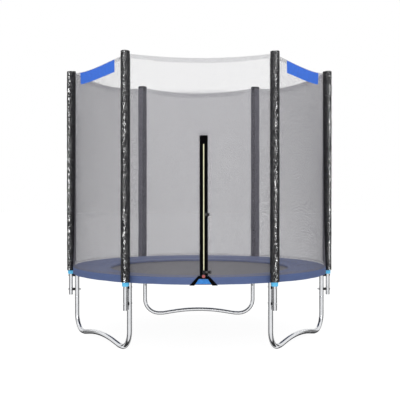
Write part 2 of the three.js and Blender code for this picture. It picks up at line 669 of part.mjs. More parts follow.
// A thin grid: cells with an odd column and an odd row stay open.
function grid(across, up, pointAt) {
  const [columns, rows] = [across.length - 1, up.length - 1];
  const points = [];
  for (const side of [-1, 1]) {
    for (const v of up) for (const u of across) points.push(pointAt(u, v, side));
  }
  const layer = across.length * up.length;
  const corner = (i, j) => j * across.length + i;
  const isOpen = (i, j) =>
    i < 0 || j < 0 || i >= columns || j >= rows || (i % 2 === 1 && j % 2 === 1);
  const faces = [];
  const wall = (a, b) => faces.push(a, b, b + layer, a, b + layer, a + layer);
  for (let i = 0; i < columns; i++) {
    for (let j = 0; j < rows; j++) {
      if (isOpen(i, j)) continue;
      const [a, b, c, d] = [corner(i, j), corner(i + 1, j), corner(i + 1, j + 1), corner(i, j + 1)];
      faces.push(a, c, b, a, d, c, a + layer, b + layer, c + layer, a + layer, c + layer, d + layer);
      if (isOpen(i, j - 1)) wall(a, b);
      if (isOpen(i + 1, j)) wall(b, c);
      if (isOpen(i, j + 1)) wall(c, d);
      if (isOpen(i - 1, j)) wall(d, a);
    }
  }
  return withFaces(points, faces);
}

const PANEL_WIDTH = netPoint('front', 0, 1).distanceTo(netPoint('front', 1, 1));
const PANEL_HEIGHT = NET_TOP_AT_POLES - NET_BOTTOM;
const DOOR_SHARE = 0.5 + DOOR_X / PANEL_WIDTH;

const NET_COLUMNS = barEdges(PANEL_WIDTH, NET_GAPS_ACROSS, NET_HEM, NET_HEM);

for (const span of SPANS) {
  const across = NET_COLUMNS.slice();
  const up = barEdges(PANEL_HEIGHT, NET_GAPS_UP, NET_HEM, NET_TOP_BAND);
  if (span === 'front') {
    const doorBar = NET_GAPS_ACROSS; // index of the middle bar's first edge
    across[doorBar] = DOOR_SHARE - DOOR_STRIP / PANEL_WIDTH / 2;
    across[doorBar + 1] = DOOR_SHARE + DOOR_STRIP / PANEL_WIDTH / 2;
  }
  const panel = grid(across, up, (u, v, side) => netPoint(span, u, v, (side * NET_THICKNESS) / 2));
  place(`net_panel_${span}`, panel, 'net');
}

// Bare patches, bent where the net is and lying just under its top edge.
for (const [span, near, far] of [
  ['left_front', PATCH_NEAR, PATCH_FAR], ['right_front', 1 - PATCH_FAR, 1 - PATCH_NEAR],
]) {
  const back = NET_THICKNESS / 2 + PATCH_STANDOFF;
  const across = [near, ...NET_COLUMNS.filter((u) => u > near && u < far), far];
  const rings = across.map((u) => {
    const top = netTop(span, u) - PATCH_DROP;
    const [high, low] = [netShare(span, u, top), netShare(span, u, top - PATCH_HEIGHT)];
    return [[low, back], [high, back], [high, back + PATCH_THICKNESS], [low, back + PATCH_THICKNESS]]
      .map(([v, offset]) => netPoint(span, u, v, offset));
  });
  place(`patch_${span}`, loft(rings), 'patch');
}

// ---------------------------------------------------------------- zipped door

// The door's own frame: x to the right, z up along the leaning net, -y towards the outside.
const door = new THREE.Group();
const doorFoot = netPoint('front', DOOR_SHARE, netShare('front', DOOR_SHARE, DOOR_BOTTOM));
const doorHead = netPoint('front', DOOR_SHARE, netShare('front', DOOR_SHARE, DOOR_TOP));
const doorUp = doorHead.clone().sub(doorFoot).setX(0).normalize();
const doorRight = new THREE.Vector3(1, 0, 0);
const doorIn = new THREE.Vector3().crossVectors(doorUp, doorRight);
door.quaternion.setFromRotationMatrix(new THREE.Matrix4().makeBasis(doorRight, doorIn, doorUp));
door.position.copy(doorFoot);
trampoline.add(door);

const tapeFace = TAPE_STANDOFF + TAPE_THICKNESS;
const chainFace = tapeFace + CHAIN_THICKNESS;
const doorLength = doorHead.distanceTo(doorFoot);

function zipTape() {
  const tape = block(-TAPE_WIDTH / 2, TAPE_WIDTH / 2, -tapeFace, -TAPE_STANDOFF, 0, doorLength);
  const chain = block(-CHAIN_WIDTH / 2, CHAIN_WIDTH / 2, -chainFace, -TAPE_STANDOFF,
    CHAIN_FOOT, doorLength - CHAIN_HEAD);
  return toGeometry(join(toSolid(tape), toSolid(chain)));
}

place('door_zip_tape', zipTape(), 'webbing', door);

// The slider straddles the chain; a bail on its face holds the pull.
const sliderBack = -tapeFace - GAP;
const sliderFront = sliderBack - SLIDER_DEPTH;
const pullAxisY = sliderFront - BAIL_DEPTH / 2;
const pullAxisZ = SLIDER_BOTTOM + BAIL_RISE;

function zipSlider() {
  const half = SLIDER_WIDTH / 2;
  const top = SLIDER_BOTTOM + SLIDER_HEIGHT;
  const body = block(-half, half, sliderFront, sliderBack, SLIDER_BOTTOM, top);
  const channelHalf = CHAIN_WIDTH / 2 + GAP;
  const channel = block(-channelHalf, channelHalf, -chainFace - GAP, sliderBack + OVERCUT,
    SLIDER_BOTTOM - OVERCUT, top + OVERCUT);
  const bail = block(-BAIL_WIDTH / 2, BAIL_WIDTH / 2, sliderFront - BAIL_DEPTH, sliderFront + OVERCUT,
    pullAxisZ - BAIL_HEIGHT / 2, pullAxisZ + BAIL_HEIGHT / 2);
  const hole = turned([[0, -BAIL_WIDTH], [BAIL_HOLE, -BAIL_WIDTH], [BAIL_HOLE, BAIL_WIDTH],
    [0, BAIL_WIDTH]], TUBE_SIDES).rotateY(Math.PI / 2).translate(0, pullAxisY, pullAxisZ);
  return toGeometry(cut(join(toSolid(body), toSolid(bail)), toSolid(channel), toSolid(hole)));
}

place('zip_slider', zipSlider(), 'blackPlastic', door);

// The pull hangs from its cross bar, which passes through the bail.
function zipPull() {
  const half = PULL_WIDTH / 2;
  const tipHalf = PULL_TIP_WIDTH / 2;
  const bar = PULL_THICKNESS / 2;
  const slotHalf = BAIL_WIDTH / 2 + GAP * 2;
  const end = bar - PULL_LENGTH;
  const polyline = (pairs) => pairs.map(([x, z]) => new THREE.Vector2(x, z));
  const outline = new THREE.Shape(polyline([
    [-half, bar], [-half, end + PULL_TIP_LENGTH], [-tipHalf, end],
    [tipHalf, end], [half, end + PULL_TIP_LENGTH], [half, bar],
  ]));
  outline.holes.push(new THREE.Path(polyline([
    [-slotHalf, -bar], [slotHalf, -bar], [slotHalf, -bar - BAIL_HEIGHT], [-slotHalf, -bar - BAIL_HEIGHT],
  ])));
  return new THREE.ExtrudeGeometry(outline, { depth: PULL_THICKNESS, bevelEnabled: false })
    .rotateX(Math.PI / 2)
    .translate(0, pullAxisY + PULL_THICKNESS / 2, pullAxisZ);
}

place('zip_pull', zipPull(), 'blackPlastic', door);

// Side-release buckles: a flat socket on the tape and a plug with a tongue and a strap slot.
const buckleFront = sliderBack - BUCKLE_THICKNESS;

// A block as deep as a buckle, less the inset, and as high as one, less the edge at each side.
function buckleBlock(left, right, height, inset = 0, edge = 0) {
  const half = BUCKLE_HEIGHT / 2 - edge;
  return toSolid(block(
    left, right, buckleFront + inset, sliderBack - inset, height - half, height + half));
}

function buckleSocket(left, height) {
  const right = left + SOCKET_LENGTH;
  const shell = buckleBlock(left, right, height);
  const cavity = buckleBlock(
    right - TONGUE_LENGTH - OVERCUT, right + OVERCUT, height, BUCKLE_WALL, BUCKLE_EDGE);
  return toGeometry(cut(shell, cavity));
}

function bucklePlug(left, height) {
  const start = left + SOCKET_LENGTH + GAP;
  const end = start + PLUG_LENGTH;
  const body = buckleBlock(start, end, height);
  const tongue = buckleBlock(start - TONGUE_LENGTH, start + OVERCUT, height,
    BUCKLE_WALL + GAP, BUCKLE_EDGE + TONGUE_PLAY);
  const slotEnd = end - PLUG_END_BAR;
  const slot = buckleBlock(slotEnd - PLUG_SLOT, slotEnd, height, -OVERCUT, BUCKLE_EDGE);
  return toGeometry(cut(join(body, tongue), slot));
}

for (const [name, { height, left }] of Object.entries(BUCKLES)) {
  place(`buckle_socket_${name}`, buckleSocket(left, height), 'blackPlastic', door);
  place(`buckle_plug_${name}`, bucklePlug(left, height), 'blackPlastic', door);
}

// ---------------------------------------------------------------- straps, flap and tag on the skirt

// A thin piece wrapped on the skirt through columns of [x, low, high].
function wrapped(columns, inside, thickness) {
  return loft(columns.map(([x, low, high]) => {
    const y = (radius) => -Math.sqrt(radius * radius - x * x);
    return [[inside, low], [inside + thickness, low], [inside + thickness, high], [inside, high]]
      .map(([radius, z]) => new THREE.Vector3(x, y(radius), z));
  }));
}

const mirrorX = (columns) =>
  [...columns, ...columns.slice().reverse().map(([x, low, high]) => [-x, low, high])]
    .map(([x, low, high]) => [x + DOOR_X, low, high]);

const flapInside = SKIRT_OUTSIDE + GAP;
const strapInside = flapInside + FLAP_THICKNESS + GAP;
const strapTop = DOOR_BOTTOM - GAP;
const strapBottom = SKIRT_BOTTOM - STRAP_OVERHANG;
const crotch = strapTop - CROTCH_DEPTH;
const flapTop = crotch - FLAP_TOP_DROP;
const flapBottom = SKIRT_BOTTOM + FLAP_HEM;

// Height at x of a slanted edge that runs from one [x, height] point to another, level beyond them.
function slant([fromX, fromHeight], [toX, toHeight], x) {
  const share = THREE.MathUtils.clamp((x - fromX) / (toX - fromX), 0, 1);
  return THREE.MathUtils.lerp(fromHeight, toHeight, share);
}

function doorStraps() {
  const endInner = STRAP_REACH - STRAP_END_WIDTH;
  const high = (x) => slant([STRAP_TOP_HALF_WIDTH, strapTop], [STRAP_REACH, strapBottom + CORNER_HEIGHT], x);
  const low = (x) => slant([CROTCH_HALF_WIDTH, crotch], [endInner, strapBottom], x);
  const columns = [
    STRAP_REACH, (STRAP_REACH + endInner) / 2, endInner, (endInner + STRAP_TOP_HALF_WIDTH) / 2,
    STRAP_TOP_HALF_WIDTH, CROTCH_HALF_WIDTH, CROTCH_HALF_WIDTH / 3,
  ].map((x) => [-x, low(x), high(x)]);
  return wrapped(mirrorX(columns), strapInside, STRAP_THICKNESS);
}

function doorFlap() {
  const high = (x) =>
    slant([FLAP_TOP_HALF_WIDTH, flapTop], [FLAP_BOTTOM_HALF_WIDTH, flapBottom + CORNER_HEIGHT], x);
  const columns = [
    FLAP_BOTTOM_HALF_WIDTH, (FLAP_BOTTOM_HALF_WIDTH + FLAP_TOP_HALF_WIDTH) / 2,
    FLAP_TOP_HALF_WIDTH, FLAP_TOP_HALF_WIDTH / 3,
  ].map((x) => [-x, flapBottom, high(x)]);
  return wrapped(mirrorX(columns), flapInside, FLAP_THICKNESS);
}

place('door_straps', doorStraps(), 'webbing');
place('door_flap', doorFlap(), 'blueCloth');

// The tag hangs just in front of the straps and of the lower end of the tape.
const tagBack = Math.max(strapInside + STRAP_THICKNESS, NET_RADIUS + tapeFace) + GAP;
const tag = new THREE.CylinderGeometry(TAG_RADIUS, TAG_RADIUS, TAG_THICKNESS, TUBE_SIDES);
place('door_tag', tag, 'redTag').position.set(
  DOOR_X, -tagBack - TAG_THICKNESS / 2, DOOR_BOTTOM - TAG_DROP);

export default trampoline;
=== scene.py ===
"""The looks of a round trampoline with a netted enclosure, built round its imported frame.

Metres, +Z up. The ring is centred on the Z axis and the zipped door faces -Y.
Sections: sizes, mesh helpers, materials, steel, poles, clamps, mat and springs, pad, net, door, stage.
"""

import itertools
import json
import math

import bpy
import numpy as np
from mathutils import Matrix, Vector, noise

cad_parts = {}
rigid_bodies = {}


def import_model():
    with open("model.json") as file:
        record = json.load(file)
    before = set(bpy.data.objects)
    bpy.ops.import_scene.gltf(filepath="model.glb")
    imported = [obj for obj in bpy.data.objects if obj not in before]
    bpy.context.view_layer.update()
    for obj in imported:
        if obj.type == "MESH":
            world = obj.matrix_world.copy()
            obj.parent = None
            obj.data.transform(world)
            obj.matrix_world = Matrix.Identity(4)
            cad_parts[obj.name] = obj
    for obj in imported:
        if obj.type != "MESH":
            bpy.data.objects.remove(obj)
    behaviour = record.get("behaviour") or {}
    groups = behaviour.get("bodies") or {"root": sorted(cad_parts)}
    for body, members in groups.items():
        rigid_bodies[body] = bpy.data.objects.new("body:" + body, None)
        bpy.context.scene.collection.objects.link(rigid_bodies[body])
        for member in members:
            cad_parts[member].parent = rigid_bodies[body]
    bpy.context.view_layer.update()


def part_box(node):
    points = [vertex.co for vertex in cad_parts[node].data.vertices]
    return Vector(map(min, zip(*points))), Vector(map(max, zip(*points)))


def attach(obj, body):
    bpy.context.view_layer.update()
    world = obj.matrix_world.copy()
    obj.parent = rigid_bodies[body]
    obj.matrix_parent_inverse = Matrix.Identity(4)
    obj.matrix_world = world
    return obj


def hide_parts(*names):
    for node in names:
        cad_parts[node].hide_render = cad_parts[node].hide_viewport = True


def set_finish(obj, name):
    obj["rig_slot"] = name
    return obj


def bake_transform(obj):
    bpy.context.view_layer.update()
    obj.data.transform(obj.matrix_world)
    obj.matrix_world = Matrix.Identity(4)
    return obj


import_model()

# ------------------------------------------------------------------ sizes, read from the frame or given here

POSTS = ("right", "rear_right", "rear_left", "left", "front_left", "front_right")
SPANS = ("right_rear", "rear", "left_rear", "left_front", "front", "right_front")
LEG_SPANS = ("rear", "left_front", "right_front")
FRONT_SPANS = ("left_front", "front", "right_front")
SPAN = math.tau / len(POSTS)
GAP = 0.0003  # left between two pieces that touch


def low(node):
    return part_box(node)[0]


def high(node):
    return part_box(node)[1]


TUBE = 0.016  # radius of the rails and legs
WALL = 0.0012
BORE = TUBE - WALL
POLE_TUBE = 0.014
POLE_WALL = 0.001
RAIL_Z = high("top_rail_front").z - TUBE
POST_RADIUS = high("enclosure_pole_right").x - POLE_TUBE
POLE_OFFSET = 0.046  # from a leg's axis out to the pole's
RING = POST_RADIUS - POLE_OFFSET
SOCKET_BOTTOM = low("top_rail_front").z
RAIL_LEAD = math.radians(10)  # from a post to the rail joint beyond it
SPIGOT = 0.028  # length of a rail's swaged end
SWAGE = 0.006
LEG_SPIGOT = 0.037  # how far a leg's swaged end reaches into its socket
SHOULDER_GAP = 0.0013  # between a leg's shoulder and the socket's rim
LEG_BEND = 0.116
FOOT_FLAT = 0.024
HUMP_RISE = 0.031
HUMP_SLOPE = math.radians(9)

FOAM_RADIUS = 0.021
SLEEVE_RADIUS = 0.027
SLEEVE_SEAM = 0.0375  # from the pole's axis in to the seam that holds the nets
CLEAR_OF_PAD = (0.492, 0.520)  # heights between which the seam begins, above the pad

MAT_RADIUS = high("jumping_mat").x
MAT_TOP, MAT_BOTTOM = high("jumping_mat").z, low("jumping_mat").z
MAT_BORDER = MAT_RADIUS - 0.026
WEBBING_INSIDE = MAT_RADIUS + GAP
WEBBING_OUTSIDE = WEBBING_INSIDE + 0.022
WEBBING_TOP = MAT_TOP + 0.001
WEBBING_THICKNESS = 0.005
VRING_POINT = WEBBING_OUTSIDE + 0.030
VRING_HALF_WIDTH = 0.015
VRING_WIRE = 0.0016
SPRING_COUNT = 36
SPRING_ANGLES = [(k + 0.5) * math.tau / SPRING_COUNT for k in range(SPRING_COUNT)]
SPRING_WIRE = 0.0016
SPRING_RADIUS = 0.0084  # to the middle of the wire
SPRING_END_RADIUS = 0.0034
SPRING_PITCH = 0.0035
SPRING_SHOULDER = 0.012
SPRING_HOOK = 0.010
SPRING_HOLE = 0.0034

PAD_TOP = high("safety_pad").z
PAD_COLUMNS = 540
PAD_INSIDE = MAT_RADIUS - 0.050
PAD_LIP = PAD_INSIDE + 0.072  # the thin inner part ends here
PAD_KNEE = PAD_INSIDE + 0.102  # the thick part over the springs begins here
PAD_EDGE = 0.9138  # the top turns down into the skirt
SKIRT_OUTSIDE = 0.9188
SKIRT_BOTTOM = low("safety_pad").z
DOOR_ANGLE = math.radians(-88.6)

NET_RADIUS = POST_RADIUS - SLEEVE_RADIUS - GAP - 0.00075
NET_BOTTOM = PAD_TOP + GAP
NET_TOP = high("net_panel_front").z
NET_SAGS = {"front": 0.028, "rear": 0.046, "left_rear": 0.046, "right_rear": 0.046}
SIDE_SAG = 0.114
NET_CLOTH = 0.00012
NET_EDGE = 0.0018 / NET_RADIUS
NET_WIDTH = 0.9445
NET_BAND = 0.027
NET_HEM = 0.016
NET_PITCH = 0.004
DOOR_X = 0.021  # the zip's middle, right of the panel's
DOOR_STRIP = 0.062  # width of the closer knit behind the zip
DOOR_STRIP_TOP = 1.40


def polar(radius, angle, z=0.0):
    return Vector((radius * math.cos(angle), radius * math.sin(angle), z))


def about_z(angle):
    return Matrix.Rotation(angle, 4, "Z")


def post_angle(post):
    return POSTS.index(post) * SPAN


def span_angle(span):
    return SPANS.index(span) * SPAN


def smooth_step(low_end, high_end, value):
    share = np.clip((value - low_end) / (high_end - low_end), 0, 1)
    return share * share * (3 - 2 * share)


# ------------------------------------------------------------------ mesh helpers, on (points, faces)


def quads(rows, columns, wrap_rows=False, wrap_columns=True):
    """Faces of a grid of points stored row by row."""
    faces = []
    for r in range(rows if wrap_rows else rows - 1):
        for c in range(columns if wrap_columns else columns - 1):
            a, b = r * columns + c, r * columns + (c + 1) % columns
            up = ((r + 1) % rows - r) * columns
            faces.append((a, b, b + up, a + up))
    return faces


def flipped(faces):
    return [tuple(reversed(face)) for face in faces]


def sheet_faces(rows, columns, flip=False):
    """Faces of a thin closed piece: two grids of points, one stored after the other, and the rim between."""
    size = rows * columns
    grid = quads(rows, columns, wrap_columns=False)
    first, second = (flipped(grid), grid) if flip else (grid, flipped(grid))
    rim = list(range(columns)) + [r * columns + columns - 1 for r in range(1, rows)]
    rim += [(rows - 1) * columns + c for c in range(columns - 2, -1, -1)]
    rim += [r * columns for r in range(rows - 2, 0, -1)]
    faces = first + [tuple(i + size for i in face) for face in second]
    for a, b in zip(rim, rim[1:] + rim[:1]):
        faces.append((a, b, b + size, a + size) if flip else (b, a, a + size, b + size))
    return faces


def make(name, points, faces, material, sharp=35):
    """A new object from points and faces, smooth but for edges sharper than the angle."""
    mesh = bpy.data.meshes.new(name)
    mesh.from_pydata([tuple(p) for p in points], [], faces)
    mesh.validate()
    mesh.shade_smooth()
    mesh.set_sharp_from_angle(angle=math.radians(sharp))
    mesh.materials.append(material)
    obj = bpy.data.objects.new(name, mesh)
    bpy.context.collection.objects.link(obj)
    if "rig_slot" in material:
        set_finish(obj, material["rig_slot"])
    return obj


def loft(rings, closed=False):
    """A solid through rings of equal length; closed joins the last ring to the first."""
    rings = np.asarray(rings, float)
    count, size = rings.shape[:2]
    faces = quads(count, size, wrap_rows=closed)
    if not closed:
        faces.append(tuple(reversed(range(size))))
        faces.append(tuple((count - 1) * size + i for i in range(size)))
    return rings.reshape(-1, 3), faces


def merge(*parts):
    points, faces, offset = [], [], 0
    for some, shape in parts:
        points.append(np.asarray(some, float).reshape(-1, 3))
        faces += [tuple(i + offset for i in face) for face in shape]
        offset += len(points[-1])
    return np.concatenate(points), faces


def moved(part, matrix):
    points = np.asarray(part[0], float).reshape(-1, 3)
    turned = points @ np.array(matrix.to_3x3()).T + np.array(matrix.translation)
    return turned, part[1] if matrix.to_3x3().determinant() > 0 else flipped(part[1])


def circle(radius, z, count):
    turns = np.arange(count) * math.tau / count
    return np.stack([radius * np.cos(turns), radius * np.sin(turns), np.full(count, z)], axis=1)


def tube_rings(path, radii, sides, closed=False, up=(0.0, 0.0, 1.0)):
    """Round sections along a path. They turn as little as they can from one point to the next."""
    path = np.asarray(path, float)
    radii = np.broadcast_to(radii, len(path))
    if closed:
        directions = np.roll(path, -1, axis=0) - np.roll(path, 1, axis=0)
    else:
        directions = np.gradient(path, axis=0)
    directions /= np.linalg.norm(directions, axis=1, keepdims=True)
    across = np.cross(directions[0], np.array(up, float))
    if np.linalg.norm(across) < 1e-6:
        across = np.cross(directions[0], (1.0, 0.0, 0.0))
    turns = np.arange(sides) * math.tau / sides
    rings = []
    for point, direction, radius in zip(path, directions, radii):
        across = across - direction * across.dot(direction)
        across /= np.linalg.norm(across)
        other = np.cross(direction, across)
        rings.append(point + radius * (np.outer(np.cos(turns), across) + np.outer(np.sin(turns), other)))
    return np.array(rings)


def tube(path, radii, sides, closed=False, up=(0.0, 0.0, 1.0)):
    return loft(tube_rings(path, radii, sides, closed, up), closed)


def pipe(path, outer, inner, sides):
    """A hollow tube: out along the path and back inside."""
    outside = tube_rings(path, outer, sides)
    inside = tube_rings(path, inner, sides)[::-1]
    return loft(np.concatenate([outside, inside]), closed=True)


def rod(start, end, radius, sides=16):
    return tube([start, end], radius, sides, up=(0.1, 0.3, 1.0))


def lathe(outline, segments, closed=False):
    """(radius, z) pairs turned about Z. closed joins the outline's ends; otherwise they lie on the axis."""
    outline = np.asarray(outline, float)
    angles = np.arange(segments) * math.tau / segments
    rings = np.stack([
        np.outer(outline[:, 0], np.cos(angles)), np.outer(outline[:, 0], np.sin(angles)),
        np.repeat(outline[:, 1:], segments, axis=1)], axis=-1)
    points, faces = loft(rings, closed)
    return points, flipped(faces)


def rounded(corners, radius, steps=4):
    """A closed outline of 2-D corners with each corner rounded."""
    corners = [Vector(c) for c in corners]
    made = []
    for i, corner in enumerate(corners):
        before, after = corners[i - 1] - corner, corners[(i + 1) % len(corners)] - corner
        reach = min(radius / math.tan(before.angle(after) / 2), before.length / 2, after.length / 2)
        start, end = corner + before.normalized() * reach, corner + after.normalized() * reach
        for k in range(steps + 1):
            t = k / steps
            made.append(start * (1 - t) ** 2 + corner * 2 * t * (1 - t) + end * t * t)
    return made


def rounded_box(x0, x1, y0, y1, radius, steps=4):
    return rounded([(x0, y0), (x1, y0), (x1, y1), (x0, y1)], radius, steps)


def evaluated(obj):
    """(points, faces) of an object with its curve or modifiers worked out."""
    bpy.context.view_layer.update()
    mesh = bpy.data.meshes.new_from_object(obj.evaluated_get(bpy.context.evaluated_depsgraph_get()))
    points = np.array([v.co for v in mesh.vertices], float)
    faces = [tuple(p.vertices) for p in mesh.polygons]
    bpy.data.meshes.remove(mesh)
    return points, faces


def plate(outlines, thickness, bevel=0.0004):
    """A flat piece in the XY plane, centred on z = 0, from an outline and its holes, with rounded edges."""
    curve = bpy.data.curves.new("plate", "CURVE")
    curve.dimensions = "2D"
    curve.fill_mode = "BOTH"
    curve.extrude = thickness / 2 - bevel
    curve.bevel_depth = bevel
    curve.offset = -bevel
    curve.bevel_resolution = 2
    for outline in outlines:
        spline = curve.splines.new("POLY")
        spline.points.add(len(outline) - 1)
        for point, (x, y) in zip(spline.points, outline):
            point.co = (x, y, 0, 1)
        spline.use_cyclic_u = True
    obj = bpy.data.objects.new("plate", curve)
    bpy.context.collection.objects.link(obj)
    part = evaluated(obj)
    bpy.data.curves.remove(curve)
    return part


def cut(part, *cutters):
    """The part less the cutters."""
    whole = make("whole", *part, STAND_IN)
    tool = make("tool", *merge(*cutters), STAND_IN)
    modifier = whole.modifiers.new("cut", "BOOLEAN")
    modifier.object = tool
    modifier.solver = "EXACT"
    modifier.use_self = True
    result = evaluated(whole)
    for obj in (whole, tool):
        bpy.data.meshes.remove(obj.data)
    return result


def stitches(path, normals, pitch=0.004, length=0.0028, width=0.0007, height=0.0003, closed=False):
    """A row of thread dashes that lie on a surface along a path. One normal serves for a flat surface."""
    path = np.asarray(path, float)
    normals = np.broadcast_to(np.asarray(normals, float), path.shape)
    if closed:
        path, normals = np.concatenate([path, path[:1]]), np.concatenate([normals, normals[:1]])
    reach = np.concatenate([[0], np.cumsum(np.linalg.norm(np.diff(path, axis=0), axis=1))])
    count = max(1, int(reach[-1] / pitch))
    places = (np.arange(count) + 0.5) * reach[-1] / count

    def sample(rows, at):
        return np.stack([np.interp(at, reach, rows[:, k]) for k in range(3)], axis=1)

    middle, facing = sample(path, places), sample(normals, places)
    tangent = sample(path, places + 1e-4) - sample(path, places - 1e-4)
    tangent /= np.linalg.norm(tangent, axis=1, keepdims=True)
    side = np.cross(facing, tangent)
    points = np.stack([
        middle - tangent * length / 2, middle + side * width / 2, middle + tangent * length / 2,
        middle - side * width / 2, middle + facing * height, middle - facing * height], axis=1)
    faces = []
    for i in range(count):
        for k in range(4):
            a, b = i * 6 + k, i * 6 + (k + 1) % 4
            faces += [(b, a, i * 6 + 4), (a, b, i * 6 + 5)]
    return points.reshape(-1, 3), faces


def crumple(point):
    """Ridged noise from -1 to 1: soft hollows between creases, as in crushed film."""
    value, total = 0.0, 0.0
    for k, weight in enumerate((1.0, 0.55)):
        value += weight * (1 - 2 * abs(noise.noise(Vector(point) * 2**k + Vector((7.3 * k, 3.1, 1.7)))) * 1.6)
        total += weight
    return value / total


# ------------------------------------------------------------------ materials


def node(tree, kind, inputs=None, **settings):
    made = tree.nodes.new("ShaderNode" + kind)
    for name, value in settings.items():
        setattr(made, name, value)
    for name, value in (inputs or {}).items():
        socket = made.inputs[name]
        if isinstance(value, bpy.types.Node):
            value = value.outputs[0]
        if isinstance(value, bpy.types.NodeSocket):
            tree.links.new(value, socket)
        else:
            socket.default_value = value
    return made


def maths(tree, operation, *values):
    return node(tree, "Math", dict(enumerate(values)), operation=operation)


def spread(tree, value, low_at, high_at, smallest, largest):
    return node(tree, "MapRange", {
        "Value": value, "From Min": low_at, "From Max": high_at, "To Min": smallest, "To Max": largest})


def ramp(tree, value, *stops):
    """A colour ramp through (position, colour) stops; a colour may be one grey level."""
    made = node(tree, "ValToRGB", {"Fac": value})
    elements = made.color_ramp.elements
    while len(elements) < len(stops):
        elements.new(0.5)
    for element, (position, colour) in zip(elements, stops):
        element.position = position
        colour = (colour,) * 3 if isinstance(colour, (int, float)) else colour
        element.color = (*colour, 1)
    return made


def coords(tree, scale=(1, 1, 1)):
    return node(tree, "Mapping", {"Vector": node(tree, "TexCoord").outputs["Object"], "Scale": scale})


def noise_texture(tree, where, scale, detail=3.0, roughness=0.5, distortion=0.0):
    return node(tree, "TexNoise", {
        "Vector": where, "Scale": scale, "Detail": detail, "Roughness": roughness, "Distortion": distortion})


def look(name, slot, base, roughness, metallic=0.0, **sockets):
    """A material whose constants sit on the shader; returns (material, tree, shader)."""
    material = bpy.data.materials.new(name)
    material.use_nodes = True
    material["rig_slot"] = slot
    shader = material.node_tree.nodes["Principled BSDF"]
    shader.inputs["Base Color"].default_value = (*base, 1)
    shader.inputs["Roughness"].default_value = roughness
    shader.inputs["Metallic"].default_value = metallic
    for socket, value in sockets.items():
        shader.inputs[socket.replace("_", " ")].default_value = value
    return material, material.node_tree, shader


def shades(base, darker, lighter):
    return [c * darker for c in base], [min(1, c * lighter) for c in base]


def vary_colour(tree, shader, value, dark, light, low_at=0.3, high_at=0.7):
    colour = ramp(tree, value, (low_at, dark), (high_at, light))
    tree.links.new(colour.outputs[0], shader.inputs["Base Color"])


def vary_roughness(tree, shader, value, smooth, rough):
    tree.links.new(spread(tree, value, 0.3, 0.7, smooth, rough).outputs[0], shader.inputs["Roughness"])


def bumps(tree, shader, *layers):
    """Bump layers of (height, strength, distance in metres), each over the one before it."""
    normal = None
    for height, strength, distance in layers:
        inputs = {"Height": height, "Strength": strength, "Distance": distance}
        if normal:
            inputs["Normal"] = normal
        normal = node(tree, "Bump", inputs)
    tree.links.new(normal.outputs[0], shader.inputs["Normal"])


def weave(tree, where, pitch, axes=(0, 1)):
    """Height of a plain weave: threads along two axes that pass over and under each other."""
    split = node(tree, "SeparateXYZ", {"Vector": where})
    u, v = (maths(tree, "MULTIPLY", split.outputs[a], math.pi / pitch) for a in axes)
    over = maths(tree, "MULTIPLY", maths(tree, "SINE", u), maths(tree, "SINE", v))
    threads = maths(tree, "MAXIMUM", maths(tree, "ABSOLUTE", maths(tree, "SINE", u)),
                    maths(tree, "ABSOLUTE", maths(tree, "SINE", v)))
    return maths(tree, "ADD", maths(tree, "MULTIPLY", over, 0.35), threads)


def metal_look(name, base, rough, marking=0.10):
    """Zinc-plated or bright steel: faint cloudy plating, drawing marks along the tube and fine pits."""
    material, tree, shader = look(name, "galvanised_steel", base, rough, 1.0)
    where = coords(tree)
    cloud = noise_texture(tree, where, 34, 5, 0.6)
    marks = noise_texture(tree, coords(tree, (900, 900, 14)), 1.0, 2)
    pits = noise_texture(tree, where, 1500, 2)
    vary_colour(tree, shader, cloud, *shades(base, 0.90, 1.05))
    vary_roughness(tree, shader, cloud, rough * 0.75, rough * 1.45)
    bumps(tree, shader, (marks, marking, 0.0002), (pits, marking / 2, 0.0001))
    return material


def plastic_look(name, slot, base, rough=0.42, gloss=0.5):
    """Moulded plastic: a fine spark-eroded grain and slightly paler worn spots."""
    material, tree, shader = look(name, slot, base, rough, Specular_IOR_Level=gloss)
    where = coords(tree)
    grain = noise_texture(tree, where, 2600, 2)
    wear = noise_texture(tree, where, 120, 4, 0.7)
    vary_colour(tree, shader, wear, base, [c * 1.5 + 0.004 for c in base], 0.45, 0.8)
    vary_roughness(tree, shader, wear, rough, rough + 0.12)
    bumps(tree, shader, (grain, 0.25, 0.0001))
    return material


def foam_look():
    """Closed-cell foam: small pores over a soft waxy skin, with a faint painted blue glow that brightens it.
    """
    base = (0.150, 0.64, 1.0)
    material, tree, shader = look(
        "blue_foam", "foam", base, 0.75, Sheen_Weight=1.0, Sheen_Tint=(0.25, 0.65, 1.0, 1.0),
        Subsurface_Weight=0.1, Subsurface_Scale=0.004,
        # The emission is a painted blue glow that brightens the foam; the foam is no lamp.
        Emission_Color=(0.05, 0.40, 1.0, 1.0), Emission_Strength=0.12)
    where = coords(tree)
    cells = node(tree, "TexVoronoi", {"Vector": where, "Scale": 900})
    dents = noise_texture(tree, where, 160, 3)
    vary_colour(tree, shader, dents, *shades(base, 0.86, 1.07))
    bumps(tree, shader, (dents, 0.25, 0.0006), (cells, 0.3, 0.0003))
    return material


